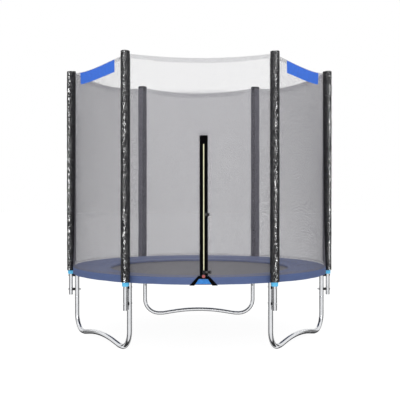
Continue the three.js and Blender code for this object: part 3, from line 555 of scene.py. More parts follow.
def sleeve_look():
    """Thin black vinyl, crushed: slanting folds catch the light as short bright flecks."""
    material, tree, shader = look(
        "sleeve_vinyl", "sleeve_vinyl", (0.008, 0.008, 0.009), 0.15, Specular_IOR_Level=0.32)

    def slanting(turn):
        where = node(tree, "Mapping", {
            "Vector": node(tree, "TexCoord").outputs["Object"], "Rotation": (0, turn, 0),
            "Scale": (1, 1, 1.5)}, vector_type="TEXTURE")
        return noise_texture(tree, where, 96, 1.5, 0.5, 0.3)

    folds = maths(tree, "MAXIMUM", slanting(0.75), slanting(-0.75))
    facets = spread(tree, folds, 0.54, 0.60, 0.07, 0.74)
    tree.links.new(facets.outputs[0], shader.inputs["Specular IOR Level"])
    large = noise_texture(tree, coords(tree, (1, 1, 0.85)), 100, 1.5, 0.5, 1.0)
    creases = node(tree, "TexVoronoi", {"Vector": coords(tree, (1, 1, 0.7)), "Scale": 150},
                   feature="DISTANCE_TO_EDGE")
    dust = noise_texture(tree, coords(tree), 60, 4, 0.6)
    vary_colour(tree, shader, dust, (0.016, 0.016, 0.018), (0.030, 0.030, 0.033))
    vary_roughness(tree, shader, dust, 0.09, 0.17)
    bumps(tree, shader, (folds, 0.6, 0.0016), (large, 0.9, 0.0026), (creases, 0.6, 0.0011),
          (dust, 0.2, 0.0002))
    return material


def cloth_look(name, slot, base, pitch, rough=0.75, sheen=0.3, gloss=0.08):
    """Woven cloth or webbing: a plain weave, slightly uneven in tone."""
    material, tree, shader = look(
        name, slot, base, rough, Sheen_Weight=sheen, Sheen_Roughness=0.5, Specular_IOR_Level=gloss)
    tone = noise_texture(tree, coords(tree), 70, 4, 0.6)
    slub = noise_texture(tree, coords(tree), 700, 2)
    vary_colour(tree, shader, tone, *shades(base, 0.84, 1.12))
    vary_roughness(tree, shader, slub, rough - 0.08, rough + 0.1)
    bumps(tree, shader, (weave(tree, coords(tree), pitch, (0, 2)), 0.5, 0.0002), (slub, 0.2, 0.0002))
    return material


def mat_look():
    """Woven polypropylene tape cloth: flat tapes with a slight shine."""
    base = (0.038, 0.038, 0.040)
    material, tree, shader = look(
        "mat_cloth", "mat_cloth", base, 0.55, Sheen_Weight=0.25, Sheen_Roughness=0.6, Specular_IOR_Level=0.35)
    where = coords(tree)
    tone = noise_texture(tree, where, 6, 5, 0.65)
    tapes = noise_texture(tree, coords(tree, (1, 40, 1)), 14, 2)
    mixed = maths(tree, "ADD", maths(tree, "MULTIPLY", tone, 0.7), maths(tree, "MULTIPLY", tapes, 0.3))
    vary_colour(tree, shader, mixed, *shades(base, 0.8, 1.3))
    bumps(tree, shader, (tone, 0.15, 0.002), (weave(tree, where, 0.0026), 0.6, 0.0003))
    return material


def pad_look():
    """Coated cloth: a leathery film over a weave that shows faintly through it."""
    base = (0.103, 0.148, 0.310)
    material, tree, shader = look("pad_vinyl", "pad_vinyl", base, 0.55, Specular_IOR_Level=0.22)
    where = coords(tree)
    tone = noise_texture(tree, where, 9, 5, 0.6)
    grain = noise_texture(tree, where, 900, 3, 0.6)
    ripple = noise_texture(tree, where, 28, 2, 0.5, 0.6)
    vary_colour(tree, shader, tone, *shades(base, 0.92, 1.07))
    vary_roughness(tree, shader, tone, 0.48, 0.62)
    bumps(tree, shader, (ripple, 0.22, 0.004), (grain, 0.22, 0.0002),
          (weave(tree, where, 0.0018), 0.12, 0.0001))
    return material


def net_look():
    """Knitted mesh: crossing strands in metres along the cloth. The strand attribute sets their width."""
    base, binding = (0.200, 0.193, 0.226), (0.02, 0.02, 0.022, 1)
    material, tree, shader = look("net_cloth", "net", base, 0.85, Specular_IOR_Level=0.2)
    uv = node(tree, "SeparateXYZ", {"Vector": node(tree, "UVMap", uv_map="cloth").outputs[0]})
    wave = maths(tree, "SINE", maths(tree, "MULTIPLY", uv.outputs[1], math.tau / NET_PITCH))
    u = maths(tree, "ADD", uv.outputs[0], maths(tree, "MULTIPLY", wave, 0.12 * NET_PITCH))
    width = node(tree, "Attribute", attribute_name="strand").outputs["Fac"]

    def strands(operation):
        slant = maths(tree, "DIVIDE", maths(tree, operation, u, uv.outputs[1]), NET_PITCH)
        middle = maths(tree, "ABSOLUTE", maths(tree, "SUBTRACT", maths(tree, "FRACT", slant), 0.5))
        return maths(tree, "LESS_THAN", maths(tree, "MULTIPLY", middle, 2.0), width)

    cover = maths(tree, "MAXIMUM", strands("ADD"), strands("SUBTRACT"))
    tree.links.new(cover.outputs[0], shader.inputs["Alpha"])
    dark, light = shades(base, 0.9, 1.1)
    yarn = ramp(tree, noise_texture(tree, coords(tree), 40, 4), (0.3, dark), (0.7, light))
    bound = node(tree, "MapRange", {"Value": width, "From Min": 0.36, "From Max": 0.40})
    colour = node(tree, "Mix", data_type="RGBA")
    for socket, value in ((0, bound.outputs[0]), (6, yarn.outputs[0])):
        tree.links.new(value, colour.inputs[socket])
    colour.inputs[7].default_value = binding
    tree.links.new(colour.outputs[2], shader.inputs["Base Color"])
    return material


STAND_IN = bpy.data.materials.new("stand_in")
STEEL = metal_look("zinc_steel", (0.78, 0.79, 0.81), 0.10, 0.03)
SPRING_STEEL = metal_look("spring_wire", (0.62, 0.63, 0.65), 0.30)
BOLT_STEEL = metal_look("bolt_zinc", (0.55, 0.55, 0.56), 0.28)
BLACK_PLASTIC = plastic_look("black_moulding", "black_plastic", (0.007, 0.007, 0.008), 0.42, 0.25)
FOAM = foam_look()
SLEEVE = sleeve_look()
MAT_CLOTH = mat_look()
PAD_VINYL = pad_look()
NET_CLOTH_LOOK = net_look()
WEBBING = cloth_look("black_webbing", "black_webbing", (0.0022, 0.0022, 0.0025), 0.0022, 0.8, 0.0, 0.02)
GREY_WEBBING = cloth_look("grey_webbing", "black_webbing", (0.10, 0.10, 0.10), 0.0016, 0.8, 0.3)
BLUE_CLOTH = cloth_look("blue_cloth", "blue_cloth", (0.058, 0.270, 0.740), 0.0010, 0.7, 0.15)
PATCH_CLOTH = cloth_look("patch_cloth", "patch_cloth", (0.040, 0.190, 0.860), 0.0012, 0.65, 0.08)
TAG_RED = plastic_look("red_tag", "tag_red", (0.42, 0.10, 0.10), 0.45)
ZIP_TEETH = plastic_look("zip_teeth", "black_webbing", (0.96, 0.95, 0.64), 0.35)
BLACK_THREAD = plastic_look("black_thread", "black_webbing", (0.035, 0.035, 0.036), 0.6)
BLUE_THREAD = plastic_look("blue_thread", "pad_vinyl", (0.16, 0.21, 0.42), 0.6)
PATCH_THREAD = plastic_look("patch_thread", "patch_cloth", (0.20, 0.34, 0.85), 0.6)

# ------------------------------------------------------------------ steel ring and legs


def in_socket(angle):
    """Socket for a leg under a rail, with the weld bead round its top."""
    reach = TUBE + 0.0012
    bead = [(RING + reach * math.cos(a), reach * math.sin(a),
             RAIL_Z - TUBE * (0.22 + 0.75 * abs(math.cos(a)) ** 1.5))
            for a in np.linspace(0, math.tau, 48, False)]
    socket = pipe([(RING, 0, SOCKET_BOTTOM), (RING, 0, RAIL_Z - TUBE * 0.4)], TUBE, BORE, 32)
    return moved(merge(socket, tube(bead, 0.0016, 8, closed=True)), about_z(angle))


def make_rail(span):
    """A rail reaches from one spigot joint to the next, with a post's socket under it at its near end."""
    start = span_angle(span) + RAIL_LEAD - SPAN
    end = start + SPAN
    swage, spigot, lip = SWAGE / RING, SPIGOT / RING, 0.0015 / RING
    angles = np.concatenate([
        [start, start + lip], np.linspace(start + swage * 2, end - swage, 97),
        [end - swage * 0.5, end, end + spigot - lip, end + spigot]])
    outer = np.full(len(angles), TUBE)
    outer[:2] = (TUBE + 0.0002, TUBE + 0.0006)
    outer[-4:] = (TUBE - 0.0006, BORE - GAP, BORE - GAP, BORE - 0.0008)
    inner = np.full(len(angles), BORE)
    inner[-4:] = (BORE - 0.0008, BORE - WALL, BORE - WALL, BORE - WALL)
    holes = [rod(polar(RING - TUBE - 0.004, a, RAIL_Z), polar(RING - TUBE * 0.4, a, RAIL_Z), SPRING_HOLE, 12)
             for a in SPRING_ANGLES if (a - start) % math.tau < SPAN]
    body = pipe([polar(RING, a, RAIL_Z) for a in angles], outer, inner, 28)
    return merge(cut(body, *holes), in_socket(span_angle(span)))


def leg_line():
    """Centre line of a W leg in its own plane, from the left shoulder to the right: (across, up)."""
    half = RING * math.sin(SPAN / 2)
    bend_x = LEG_BEND - half
    shoulder = SOCKET_BOTTOM - SHOULDER_GAP
    points = [(-half, SOCKET_BOTTOM + LEG_SPIGOT), (-half, shoulder + 0.004)]
    points += [(-half, z) for z in np.linspace(shoulder, TUBE + LEG_BEND, 5)]
    points += [(bend_x - LEG_BEND * math.cos(t), TUBE + LEG_BEND * (1 - math.sin(t)))
               for t in np.linspace(0, math.pi / 2, 25)[1:]]
    foot = bend_x + FOOT_FLAT
    points.append((foot, TUBE))
    points += [(foot + LEG_BEND * math.sin(t), TUBE + LEG_BEND * (1 - math.cos(t)))
               for t in np.linspace(0, HUMP_SLOPE, 7)[1:]]
    ramp_x, ramp_rise = foot + LEG_BEND * math.sin(HUMP_SLOPE), LEG_BEND * (1 - math.cos(HUMP_SLOPE))
    climb = -ramp_x * math.tan(HUMP_SLOPE) - (HUMP_RISE - ramp_rise)
    crest = climb / (math.sin(HUMP_SLOPE) * math.tan(HUMP_SLOPE) - (1 - math.cos(HUMP_SLOPE)))
    points += [(-crest * math.sin(t), TUBE + HUMP_RISE - crest * (1 - math.cos(t)))
               for t in np.linspace(HUMP_SLOPE, 0, 12)]
    return points + [(-x, z) for x, z in points[-2::-1]]


def make_leg(span):
    middle = span_angle(span) + SPAN / 2
    across = polar(1, middle + math.pi / 2)
    path = [polar(RING * math.cos(SPAN / 2), middle, z) + across * x for x, z in leg_line()]
    outer = np.full(len(path), TUBE)
    outer[:2] = outer[-2:] = BORE - GAP
    outer[0] = outer[-1] = BORE - 0.0009
    inner = outer - WALL
    inner[1] = inner[-2] = inner[0]
    return pipe(path, outer, inner, 32)


for span in SPANS:
    rail = make("rail_" + span, *make_rail(span), STEEL)
    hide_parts("top_rail_" + span)
    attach(rail, "frame")
for span in LEG_SPANS:
    leg = make("w_leg_" + span, *make_leg(span), STEEL)
    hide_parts("leg_" + span)
    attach(leg, "frame")

# ------------------------------------------------------------------ poles, foam and sleeves


def make_pole():
    bottom, top = low("enclosure_pole_right").z, high("enclosure_pole_right").z
    soft = 0.0006
    path = [(0, 0, z) for z in (bottom, bottom + soft, bottom + 0.3, top - 0.3, top - soft, top)]
    outer = np.array([POLE_TUBE - 0.0004] + [POLE_TUBE] * 4 + [POLE_TUBE - 0.0004])
    return pipe(path, outer, POLE_TUBE - POLE_WALL, 32)


def make_foam(seed):
    """A foam tube, soft at its cut ends and faintly dented along its length."""
    bottom, top = low("foam_tube_right").z, high("foam_tube_right").z
    ends = 0.003
    heights = np.concatenate([
        [bottom, bottom + ends * 0.4, bottom + ends], np.linspace(bottom + 0.02, top - 0.02, 120),
        [top - ends, top - ends * 0.4, top]])
    line = [(0, 0, z) for z in heights]
    radii = np.full(len(heights), FOAM_RADIUS)
    radii[[0, -1]] -= 0.0022
    radii[[1, -2]] -= 0.0007
    rings = tube_rings(line, radii, 40)
    for ring, z in zip(rings, heights):
        for point in ring:
            dent = noise.noise(Vector((point[0] * 30, point[1] * 30, z * 9 + seed * 5)))
            spread_out = np.hypot(point[0], point[1])
            point[:2] *= (spread_out + 0.0006 * dent) / spread_out
    inside = tube_rings(line, POLE_TUBE + GAP, 40)[::-1]
    return loft(np.concatenate([rings, inside]), closed=True)


def sleeve_radius(angle, tail, loose):
    """Section of a sleeve round its pole, from the outside: drop-shaped where the nets are sewn in."""
    way = math.cos(angle)
    round_part = SLEEVE_RADIUS + 0.0020 + loose - 0.0026 * max(0.0, way) ** 2 + 0.0006 * min(0.0, way)
    if way >= 0 or tail == 0:
        return round_part
    spread_out = abs(math.sin(angle))
    seam = SLEEVE_SEAM if spread_out < 1e-6 else min(SLEEVE_SEAM, 0.0032 / spread_out + 0.0262)
    return round_part + max(0.0, seam - round_part) * tail * way**2


def make_sleeve(seed, loose):
    """Loose, crushed vinyl over the foam, sewn shut above the pole; the nets are sewn into its inner seam."""
    bottom, top = low("pole_sleeve_right").z, high("pole_sleeve_right").z
    rows, columns = 340, 84
    heights = list(np.linspace(bottom, top - 0.003, rows)) + [top - 0.0018, top - 0.0008, top - 0.0002, top]
    closing = [1.0] * rows + [0.97, 0.88, 0.62, 0.02]
    outside = []
    for z, shrink in zip(heights, closing):
        calm = min(1.0, (z - bottom) / 0.015 + 0.25, (top - z) / 0.02 + 0.3)
        tail = float(smooth_step(*CLEAR_OF_PAD, z))
        cap = float(smooth_step(top - 0.03, top, z))
        ring = []
        for k in range(columns):
            angle = k * math.tau / columns
            x, y = math.cos(angle), math.sin(angle)
            creases = crumple((x * 2.0 + seed * 3.7, y * 2.0, z * 62))
            slant = noise.noise(Vector((x * 2.1 + z * 24, y * 2.1 - z * 17, seed * 5.3)))
            broad = noise.noise(Vector((x * 0.8, y * 0.8 + seed * 9.1, z * 6)))
            swell = (0.0013 * creases + 0.0012 * slant + 0.0012 * broad) * calm
            inner = float(smooth_step(0.2, 0.8, -x))
            radius = sleeve_radius(angle, tail, loose) + swell * (1 - 0.75 * inner)
            if tail < 1:
                beside_pad = min(radius, SLEEVE_RADIUS - 0.0002)
                radius += (beside_pad - radius) * inner * (1 - tail)
            radius = max(radius, FOAM_RADIUS + 0.0026) * shrink
            slump = 0.0022 + 0.0022 * math.cos(angle - seed * 1.9) + 0.0012 * slant
            ring.append((radius * x, radius * y, z - cap * slump * min(1.0, radius / 0.02)))
        outside.append(ring)
    inside = [circle(FOAM_RADIUS + 0.0014, z, columns) for z in np.linspace(bottom, top - 0.0044, 40)]
    inside.append(circle(0.0002, top - 0.0042, columns))
    return loft(np.concatenate([np.array(inside)[::-1], np.array(outside)]))


def sleeve_hem():
    """Turned hem at the foot of a sleeve, and the row of thread above it."""
    bottom = low("pole_sleeve_right").z
    ring = circle(SLEEVE_RADIUS - 0.0008, bottom + 0.0012, 96)
    line = circle(SLEEVE_RADIUS - 0.0001, bottom + 0.018, 96)
    return merge(tube(ring, 0.0009, 8, closed=True),
                 stitches(line, circle(1, 0, 96), closed=True, height=0.0006))


pole_part, hem_part = make_pole(), sleeve_hem()
for index, post in enumerate(POSTS):
    place = Matrix.Translation(polar(POST_RADIUS, post_angle(post))) @ about_z(post_angle(post))
    loose = 0.0062 if post.startswith("rear") else 0.0006
    pole = make("pole_" + post, *moved(pole_part, place), STEEL)
    foam = make("foam_" + post, *moved(make_foam(index), place), FOAM, 60)
    sleeve = make("sleeve_" + post, *moved(make_sleeve(index + 1, loose), place), SLEEVE, 75)
    hem = make("sleeve_hem_" + post, *moved(hem_part, place), SLEEVE, 60)
    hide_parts("enclosure_pole_" + post)
    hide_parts("foam_tube_" + post)
    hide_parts("pole_sleeve_" + post)
    for obj in (pole, foam, sleeve, hem):
        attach(obj, "frame")

# ------------------------------------------------------------------ clamps


def make_saddle():
    """Moulded saddle from leg (axis at 0) to pole: hollow ends that fit the tubes and a narrow waist."""
    near, far, wide, waist, tall, steps = 0.009, 0.039, 0.0125, 0.006, 0.018, 24
    outline = []
    for k in range(steps + 1):
        pinch = math.sin(math.pi * k / steps) ** 0.8
        outline.append((near + (far - near) * k / steps, wide - (wide - waist) * pinch))
    outline += [(x, -y) for x, y in reversed(outline)]
    leg_hole = rod((0, 0, -0.03), (0, 0, 0.03), TUBE + GAP, 48)
    pole_hole = rod((POLE_OFFSET, 0, -0.03), (POLE_OFFSET, 0, 0.03), POLE_TUBE + GAP, 48)
    bolt_hole = rod((0, 0, 0), (POLE_OFFSET, 0, 0), 0.0032, 20)
    return cut(plate([outline], tall, 0.0010), leg_hole, pole_hole, bolt_hole)


def make_bolt():
    """Carriage bolt along X with a domed head outside the pole, and a hex nut and a washer by the leg."""
    head, tail, thread_end = 0.0603, -0.0296, -0.006
    radius, root, pitch, axis = 0.003, 0.0026, 0.0010, 0.00002
    z = tail + 0.0008
    shank = [(axis, tail), (0.0022, tail), (radius, z)]
    while z < thread_end:
        shank += [(root, z + pitch * 0.5), (radius, z + pitch)]
        z += pitch
    shank += [(radius, head), (0.0062, head), (0.0070, head + 0.0006), (0.0068, head + 0.0016),
              (0.0052, head + 0.0032), (0.0026, head + 0.0039), (axis, head + 0.0040)]
    corners = [(0.006 * math.cos(k * math.pi / 3), 0.006 * math.sin(k * math.pi / 3)) for k in range(6)]
    nut = moved(plate([rounded(corners, 0.0006, 2)], 0.0050, 0.0005), Matrix.Translation((0, 0, -0.0212)))
    washer = lathe([(0.0031, -0.0185), (0.0067, -0.0185), (0.0070, -0.0182), (0.0070, -0.0177),
                    (0.0067, -0.0174), (0.0031, -0.0174)], 28, closed=True)
    return moved(merge(lathe(shank, 24), nut, washer), Matrix.Rotation(math.pi / 2, 4, "Y"))


saddle_part, bolt_part = make_saddle(), make_bolt()
for post in POSTS:
    for level in ("lower", "upper"):
        name = f"pole_clamp_{post}_{level}"
        middle = (low(name).z + high(name).z) / 2
        place = about_z(post_angle(post)) @ Matrix.Translation((RING, 0, middle))
        saddle = make(f"saddle_{post}_{level}", *moved(saddle_part, place), BLACK_PLASTIC, 30)
        bolt = make(f"bolt_{post}_{level}", *moved(bolt_part, place), BOLT_STEEL, 30)
        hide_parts(name)
        for obj in (saddle, bolt):
            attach(obj, "frame")

# ------------------------------------------------------------------ mat, webbing, V-rings and springs


def make_mat():
    """Round cloth, thicker in its sewn border."""
    soft = 0.0006
    radii = np.concatenate([[0.0005], np.linspace(0.02, MAT_RADIUS - 0.03, 30),
                            np.linspace(MAT_BORDER, MAT_RADIUS - soft, 8), [MAT_RADIUS]])

    def face(z, inwards, thinner):
        return [(r, z + inwards * (thinner * (r < MAT_BORDER) + soft * (r == MAT_RADIUS))) for r in radii]

    return lathe(face(MAT_BOTTOM, 1, 0.0005) + face(MAT_TOP, -1, 0.0006)[::-1], 192)


def round_stitches(radius, z, facing=1):
    return stitches(circle(radius, z, 360), (0, 0, facing), closed=True)


def make_webbing():
    """Border webbing, and a loop of it round each V-ring."""
    inside, outside, soft = WEBBING_INSIDE, WEBBING_OUTSIDE, 0.0008
    bottom, top = WEBBING_TOP - WEBBING_THICKNESS, WEBBING_TOP
    band = lathe([(inside, top - soft), (inside + soft, top), (outside - soft, top), (outside, top - soft),
                  (outside, bottom + soft), (outside - soft, bottom), (inside + soft, bottom),
                  (inside, bottom + soft)], 288, closed=True)
    outline = rounded_box(inside + 0.001, outside - 0.0005, -0.019, 0.019, 0.0006, 1)
    loop = moved(plate([outline], 0.0012, 0.0003), Matrix.Translation((0, 0, top + 0.0004)))
    return merge(band, *(moved(loop, about_z(angle)) for angle in SPRING_ANGLES))


def make_vring(angle):
    """Bent wire triangle: its base lies in the webbing, its point holds the spring."""
    base = (WEBBING_INSIDE + WEBBING_OUTSIDE) / 2
    corners = [(base, VRING_HALF_WIDTH), (base, -VRING_HALF_WIDTH), (VRING_POINT - VRING_WIRE, 0)]
    path = [(x, y, MAT_TOP - 0.0015) for x, y in rounded(corners, 0.0035, 5)]
    return moved(tube(path, VRING_WIRE, 10, closed=True), about_z(angle))


def spring_path(start, end, level):
    """Centre line of a coil spring along +X: hooked over the V-ring at start and into the rail at end."""
    points = [(start - 0.0042 * math.sin(math.pi * t), 0, level + 0.0046 * math.cos(math.pi * t))
              for t in np.linspace(1, 0, 9)]
    points.append((start + 0.004, 0, level + 0.0040))
    coil_start, coil_end = start + SPRING_HOOK, end - SPRING_HOOK
    length = coil_end - coil_start
    turns = round(length / SPRING_PITCH)
    steps = turns * 14
    for i in range(steps + 1):
        share = i / steps
        x = coil_start + length * share
        angle = math.tau * turns * share
        wound = float(smooth_step(0, SPRING_SHOULDER, min(x - coil_start, coil_end - x)))
        radius = SPRING_END_RADIUS + (SPRING_RADIUS - SPRING_END_RADIUS) * wound
        points.append((x, radius * math.sin(angle), level + radius * math.cos(angle)))
    points.append((end - 0.004, 0, level + 0.0026))
    points += [(end + 0.0040 * math.sin(t), 0, level - 0.0006 + 0.0032 * math.cos(t))
               for t in np.linspace(0.1, 2.4, 7)]
    return points


mat = make("woven_mat", *make_mat(), MAT_CLOTH, 40)
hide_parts("jumping_mat")
mat_thread = make("mat_thread", *merge(*(
    round_stitches(MAT_RADIUS - inset, z, facing)
    for inset in (0.006, 0.020) for z, facing in ((MAT_TOP, 1), (MAT_BOTTOM, -1)))), BLACK_THREAD)
webbing = make("mat_webbing", *make_webbing(), WEBBING, 40)
webbing_thread = make("webbing_thread", *merge(*(
    round_stitches(WEBBING_INSIDE + inset, WEBBING_TOP + 0.0010) for inset in (0.004, 0.0175))), BLACK_THREAD)
vrings = make("v_rings", *merge(*(make_vring(angle) for angle in SPRING_ANGLES)), SPRING_STEEL, 60)
for obj in (mat, mat_thread, webbing, webbing_thread, vrings):
    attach(obj, "mat")
spring_line = spring_path(VRING_POINT - 0.0045, RING - TUBE - 0.0012, RAIL_Z)
spring_part = tube(spring_line, SPRING_WIRE, 7, up=(0, 1, 0.1))
for k, angle in enumerate(SPRING_ANGLES):
    spring = make(f"spring_{k + 1:02d}", *moved(spring_part, about_z(angle)), SPRING_STEEL, 180)
    tuple(polar(VRING_POINT - 0.004, angle, RAIL_Z))
    tuple(polar(RING - TUBE, angle, RAIL_Z))
    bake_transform(spring)
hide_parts("spring_ring")

# ------------------------------------------------------------------ safety pad


def away_from(angle, centre, half):
    """0 within half of the centre angle, rising to 1 over as much again."""
    apart = abs((angle - centre + math.pi) % math.tau - math.pi)
    return float(smooth_step(half, half * 2, apart))


def nip(angle):
    """How far a radial seam draws the padding in, 1 on the seam itself."""
    apart = abs((angle + SPAN / 2) % SPAN - SPAN / 2)
    return math.exp(-((apart * 0.8 / 0.009) ** 2))


def skirt_freedom(angle):
    """0 where the skirt is held, at the posts and behind the door's straps, and 1 away from them."""
    held = min(away_from(angle, k * SPAN, math.radians(2.6)) for k in range(len(POSTS)))
    return held * away_from(angle, DOOR_ANGLE, math.radians(5))


def pad_outline():
    """The pad's section as two lists of (radius, z), under and over, from the skirt in and back out."""
    thin_foot, thin_top, foot, top, rise = 0.4598, 0.4748, 0.4673, 0.4823, 0.006
    under = [(0.9175, SKIRT_BOTTOM), (0.9176, 0.446), (0.9176, 0.4733), (0.914, 0.4733)]
    under += [(r, foot + (r - PAD_KNEE) * rise / 0.127) for r in np.linspace(0.879, PAD_KNEE, 8)]
    under += [(PAD_LIP + 0.005, thin_foot), (PAD_LIP - 0.03, thin_foot),
              (PAD_INSIDE + 0.002, thin_foot + 0.0001), (PAD_INSIDE + 0.0005, thin_foot + 0.0006),
              (PAD_INSIDE, thin_foot + 0.0020)]
    over = [(PAD_INSIDE, thin_top - 0.0040), (PAD_INSIDE + 0.0012, thin_top - 0.0013),
            (PAD_INSIDE + 0.004, thin_top - 0.0002)]
    over += [(r, thin_top) for r in np.linspace(PAD_INSIDE + 0.010, PAD_LIP, 8)]
    over += [(r, thin_top + (r - PAD_LIP) * 0.25) for r in np.linspace(PAD_LIP, PAD_KNEE, 6)[1:]]
    over += [(r, top + (r - PAD_KNEE) * rise / (PAD_EDGE - PAD_KNEE))
             for r in np.linspace(PAD_KNEE, PAD_EDGE - 0.004, 18)[1:]]
    over += [(PAD_EDGE, 0.4880), (0.9165, 0.4870), (0.9181, 0.4850)]
    over += [(SKIRT_OUTSIDE, z) for z in np.linspace(0.4820, 0.4480, 10)]
    over += [(0.9190, 0.4465), (0.9190, 0.4428), (0.9186, SKIRT_BOTTOM)]
    return under, over


def make_pad():
    """A ring of padding, crowned between its inner edge and the skirt, and nipped at six radial seams."""
    under, over = pad_outline()
    columns = []
    for k in range(PAD_COLUMNS):
        angle = k * math.tau / PAD_COLUMNS
        x, y = math.cos(angle), math.sin(angle)
        wave = 0.5 + 0.5 * math.sin(angle * 34 + 2 * noise.noise(Vector((x * 3, y * 3, 0))))
        flutter = noise.noise(Vector((x * 8, y * 8, 3)))
        columns.append((x, y, nip(angle), skirt_freedom(angle), wave, flutter))
    rings = []
    for index, (radius, z) in enumerate(under + over):
        share = float(np.clip((radius - PAD_INSIDE) / (PAD_EDGE - PAD_INSIDE), 0, 1))
        crown = math.sin(math.pi * share) if index >= len(under) and z > 0.4700 else 0.0
        hang = float(np.clip((0.483 - z) / 0.04, 0, 1)) if radius > 0.917 else 0.0
        ring = []
        for x, y, seam, free, wave, flutter in columns:
            ripple = noise.noise(Vector((x * 6, y * 6, radius * 9)))
            fold = noise.noise(Vector((x * 30, y * 30, radius * 5)))
            swell = 0.0030 - 0.0060 * seam + 0.0016 * ripple + 0.0007 * fold
            r = radius + 0.0026 * hang**1.5 * free * wave
            ring.append((r * x, r * y, z + crown * swell + 0.0012 * hang * flutter * free))
        rings.append(ring)
    points, faces = loft(rings, closed=True)
    return points, flipped(faces)


pad_part = make_pad()
pad = make("pad", *pad_part, PAD_VINYL, 50)
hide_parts("safety_pad")
pad_grid = pad_part[0].reshape(-1, PAD_COLUMNS, 3)
section = pad_grid[:, 7]  # away from the seams
reach = np.hypot(section[:, 0], section[:, 1])


def seam_threads(angle):
    """Two rows of thread beside a radial seam, from the inner edge to the skirt."""
    for side in (-1, 1):
        column = int(round((angle + side * 0.0055) / math.tau * PAD_COLUMNS)) % PAD_COLUMNS
        yield stitches([p for p in pad_grid[22:-3, column] if p[2] > 0.474], (0, 0, 1), height=0.0005)


pad_threads = []
for radius in (PAD_INSIDE + 0.010, PAD_LIP):
    row = min(np.flatnonzero(section[:, 2] >= 0.4735), key=lambda r: abs(reach[r] - radius))
    pad_threads.append(stitches(pad_grid[row], (0, 0, 1), closed=True, height=0.0005))
for height in (0.4480, 0.4800):
    row = min(range(25, len(section)), key=lambda r: abs(section[r, 2] - height) + (reach[r] < 0.9187))
    pad_threads.append(stitches(pad_grid[row], circle(1, 0, PAD_COLUMNS), closed=True, height=0.0004))
for k in range(len(POSTS)):
    pad_threads += seam_threads(k * SPAN)
pad_thread = make("pad_thread", *merge(*pad_threads), BLUE_THREAD)
for obj in (pad, pad_thread):
    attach(obj, "frame")

# ------------------------------------------------------------------ net panels and patches


def net_top(span, u):
    """Height of a panel's top edge; on the side-front panels it hangs lowest near the side pole."""
    if span == "left_front":
        return NET_TOP - SIDE_SAG * u * (1 - u) ** 2
    if span == "right_front":
        return NET_TOP - SIDE_SAG * (1 - u) * u ** 2
    return NET_TOP - 4 * NET_SAGS[span] * u * (1 - u)


def net_point(span, u, z, offset=0.0):
    """A point of a net panel: on the pad's rim below, on the straight line between the poles above."""
    first, last = span_angle(span) + NET_EDGE, span_angle(span) + SPAN - NET_EDGE
    angle = first + (last - first) * u
    v = (z - NET_BOTTOM) / (net_top(span, u) - NET_BOTTOM)
    straight = polar(NET_RADIUS, first, z).lerp(polar(NET_RADIUS, last, z), u)
    outwards = polar(1, angle).lerp(polar(1, (first + last) / 2), v).normalized()
    return polar(NET_RADIUS, angle, z).lerp(straight, v) + outwards * offset


def net_grid(width, marks, step):
    """Places along 0 to width, with two close together at each mark so that a hem has a crisp edge."""
    count = max(2, round(width / step))
    places = set(np.linspace(0, width, count + 1))
    for mark in marks:
        places = {p for p in places if abs(p - mark) > step * 0.3 or p in (0.0, width)}
        places |= {mark - 0.0003, mark + 0.0003}
    return sorted(places)


def from_side_pole(span, across):
    """Share of a side-front panel's width between its side pole and a place across it."""
    share = across / NET_WIDTH
    return 1 - share if span == "right_front" else share


def painted_light_edge(span, across):
    """Height where the thinner knit at the top of the front panels begins, a line that sweeps up to the side
    poles. The thinner knit is painted light: it makes the front net read lighter than the rear net.
    """
    if span == "front":
        return 1.656
    share = from_side_pole(span, across)
    return 1.896 - 0.306 * share + 0.084 * share**2


def strand_width(span, across, z, top):
    """Share of the mesh that is yarn: more in the hems and the top band, less high up at the front, and a
    little less on the side-front panels away from their side pole. The thinner front knit, high up and in the
    top band, is painted light: the front net reads lighter than the rear net.
    """
    # The two thin widths kept for the front panels are painted light on the front net; the rear panels keep
    # the dense knit and read darker.
    bound, hem, band, painted_light_band, dense, light = 0.42, 0.34, 0.344, 0.219, 0.225, 0.086
    if z > top - NET_BAND:
        return painted_light_band if span in FRONT_SPANS else band
    if across < NET_HEM or across > NET_WIDTH - NET_HEM:
        return bound
    if z < NET_BOTTOM + NET_HEM:
        return hem
    if span not in FRONT_SPANS:
        return dense
    if span != "front":
        dense = 0.227 - 0.024 * from_side_pole(span, across)
    elif abs(across - NET_WIDTH / 2 - DOOR_X) < DOOR_STRIP / 2 and z < DOOR_STRIP_TOP:
        return hem
    edge = painted_light_edge(span, across)
    return dense + (light - dense) * float(smooth_step(edge - 0.012, edge + 0.012, z))


def make_net(span):
    """Points and faces of a panel, the cloth's own coordinates and the width of its strands at each point."""
    height = NET_TOP - NET_BOTTOM
    marks, level_marks = [NET_HEM, NET_WIDTH - NET_HEM], [NET_HEM, height - NET_BAND]
    if span == "front":
        marks += [NET_WIDTH / 2 + DOOR_X - DOOR_STRIP / 2, NET_WIDTH / 2 + DOOR_X + DOOR_STRIP / 2]
        level_marks.append(DOOR_STRIP_TOP - NET_BOTTOM)
    columns = net_grid(NET_WIDTH, marks, 0.022)
    levels = net_grid(height, level_marks, 0.012 if span in FRONT_SPANS else 0.024)
    points, coords_2d, strands = [], [], []
    for side in (1, -1):
        for level in levels:
            for across in columns:
                u, v = across / NET_WIDTH, level / height
                z = NET_BOTTOM + v * (net_top(span, u) - NET_BOTTOM)
                free = min(1, min(u, 1 - u, v, 1 - v) * 12)
                slack = 0.0022 * free * noise.noise(Vector((u * 4, v * 6, SPANS.index(span) * 3.3)))
                points.append(net_point(span, u, z, slack + side * NET_CLOTH / 2))
                coords_2d.append((across, z))
                strands.append(strand_width(span, across, z, net_top(span, u)))
    return points, sheet_faces(len(levels), len(columns), flip=True), coords_2d, strands


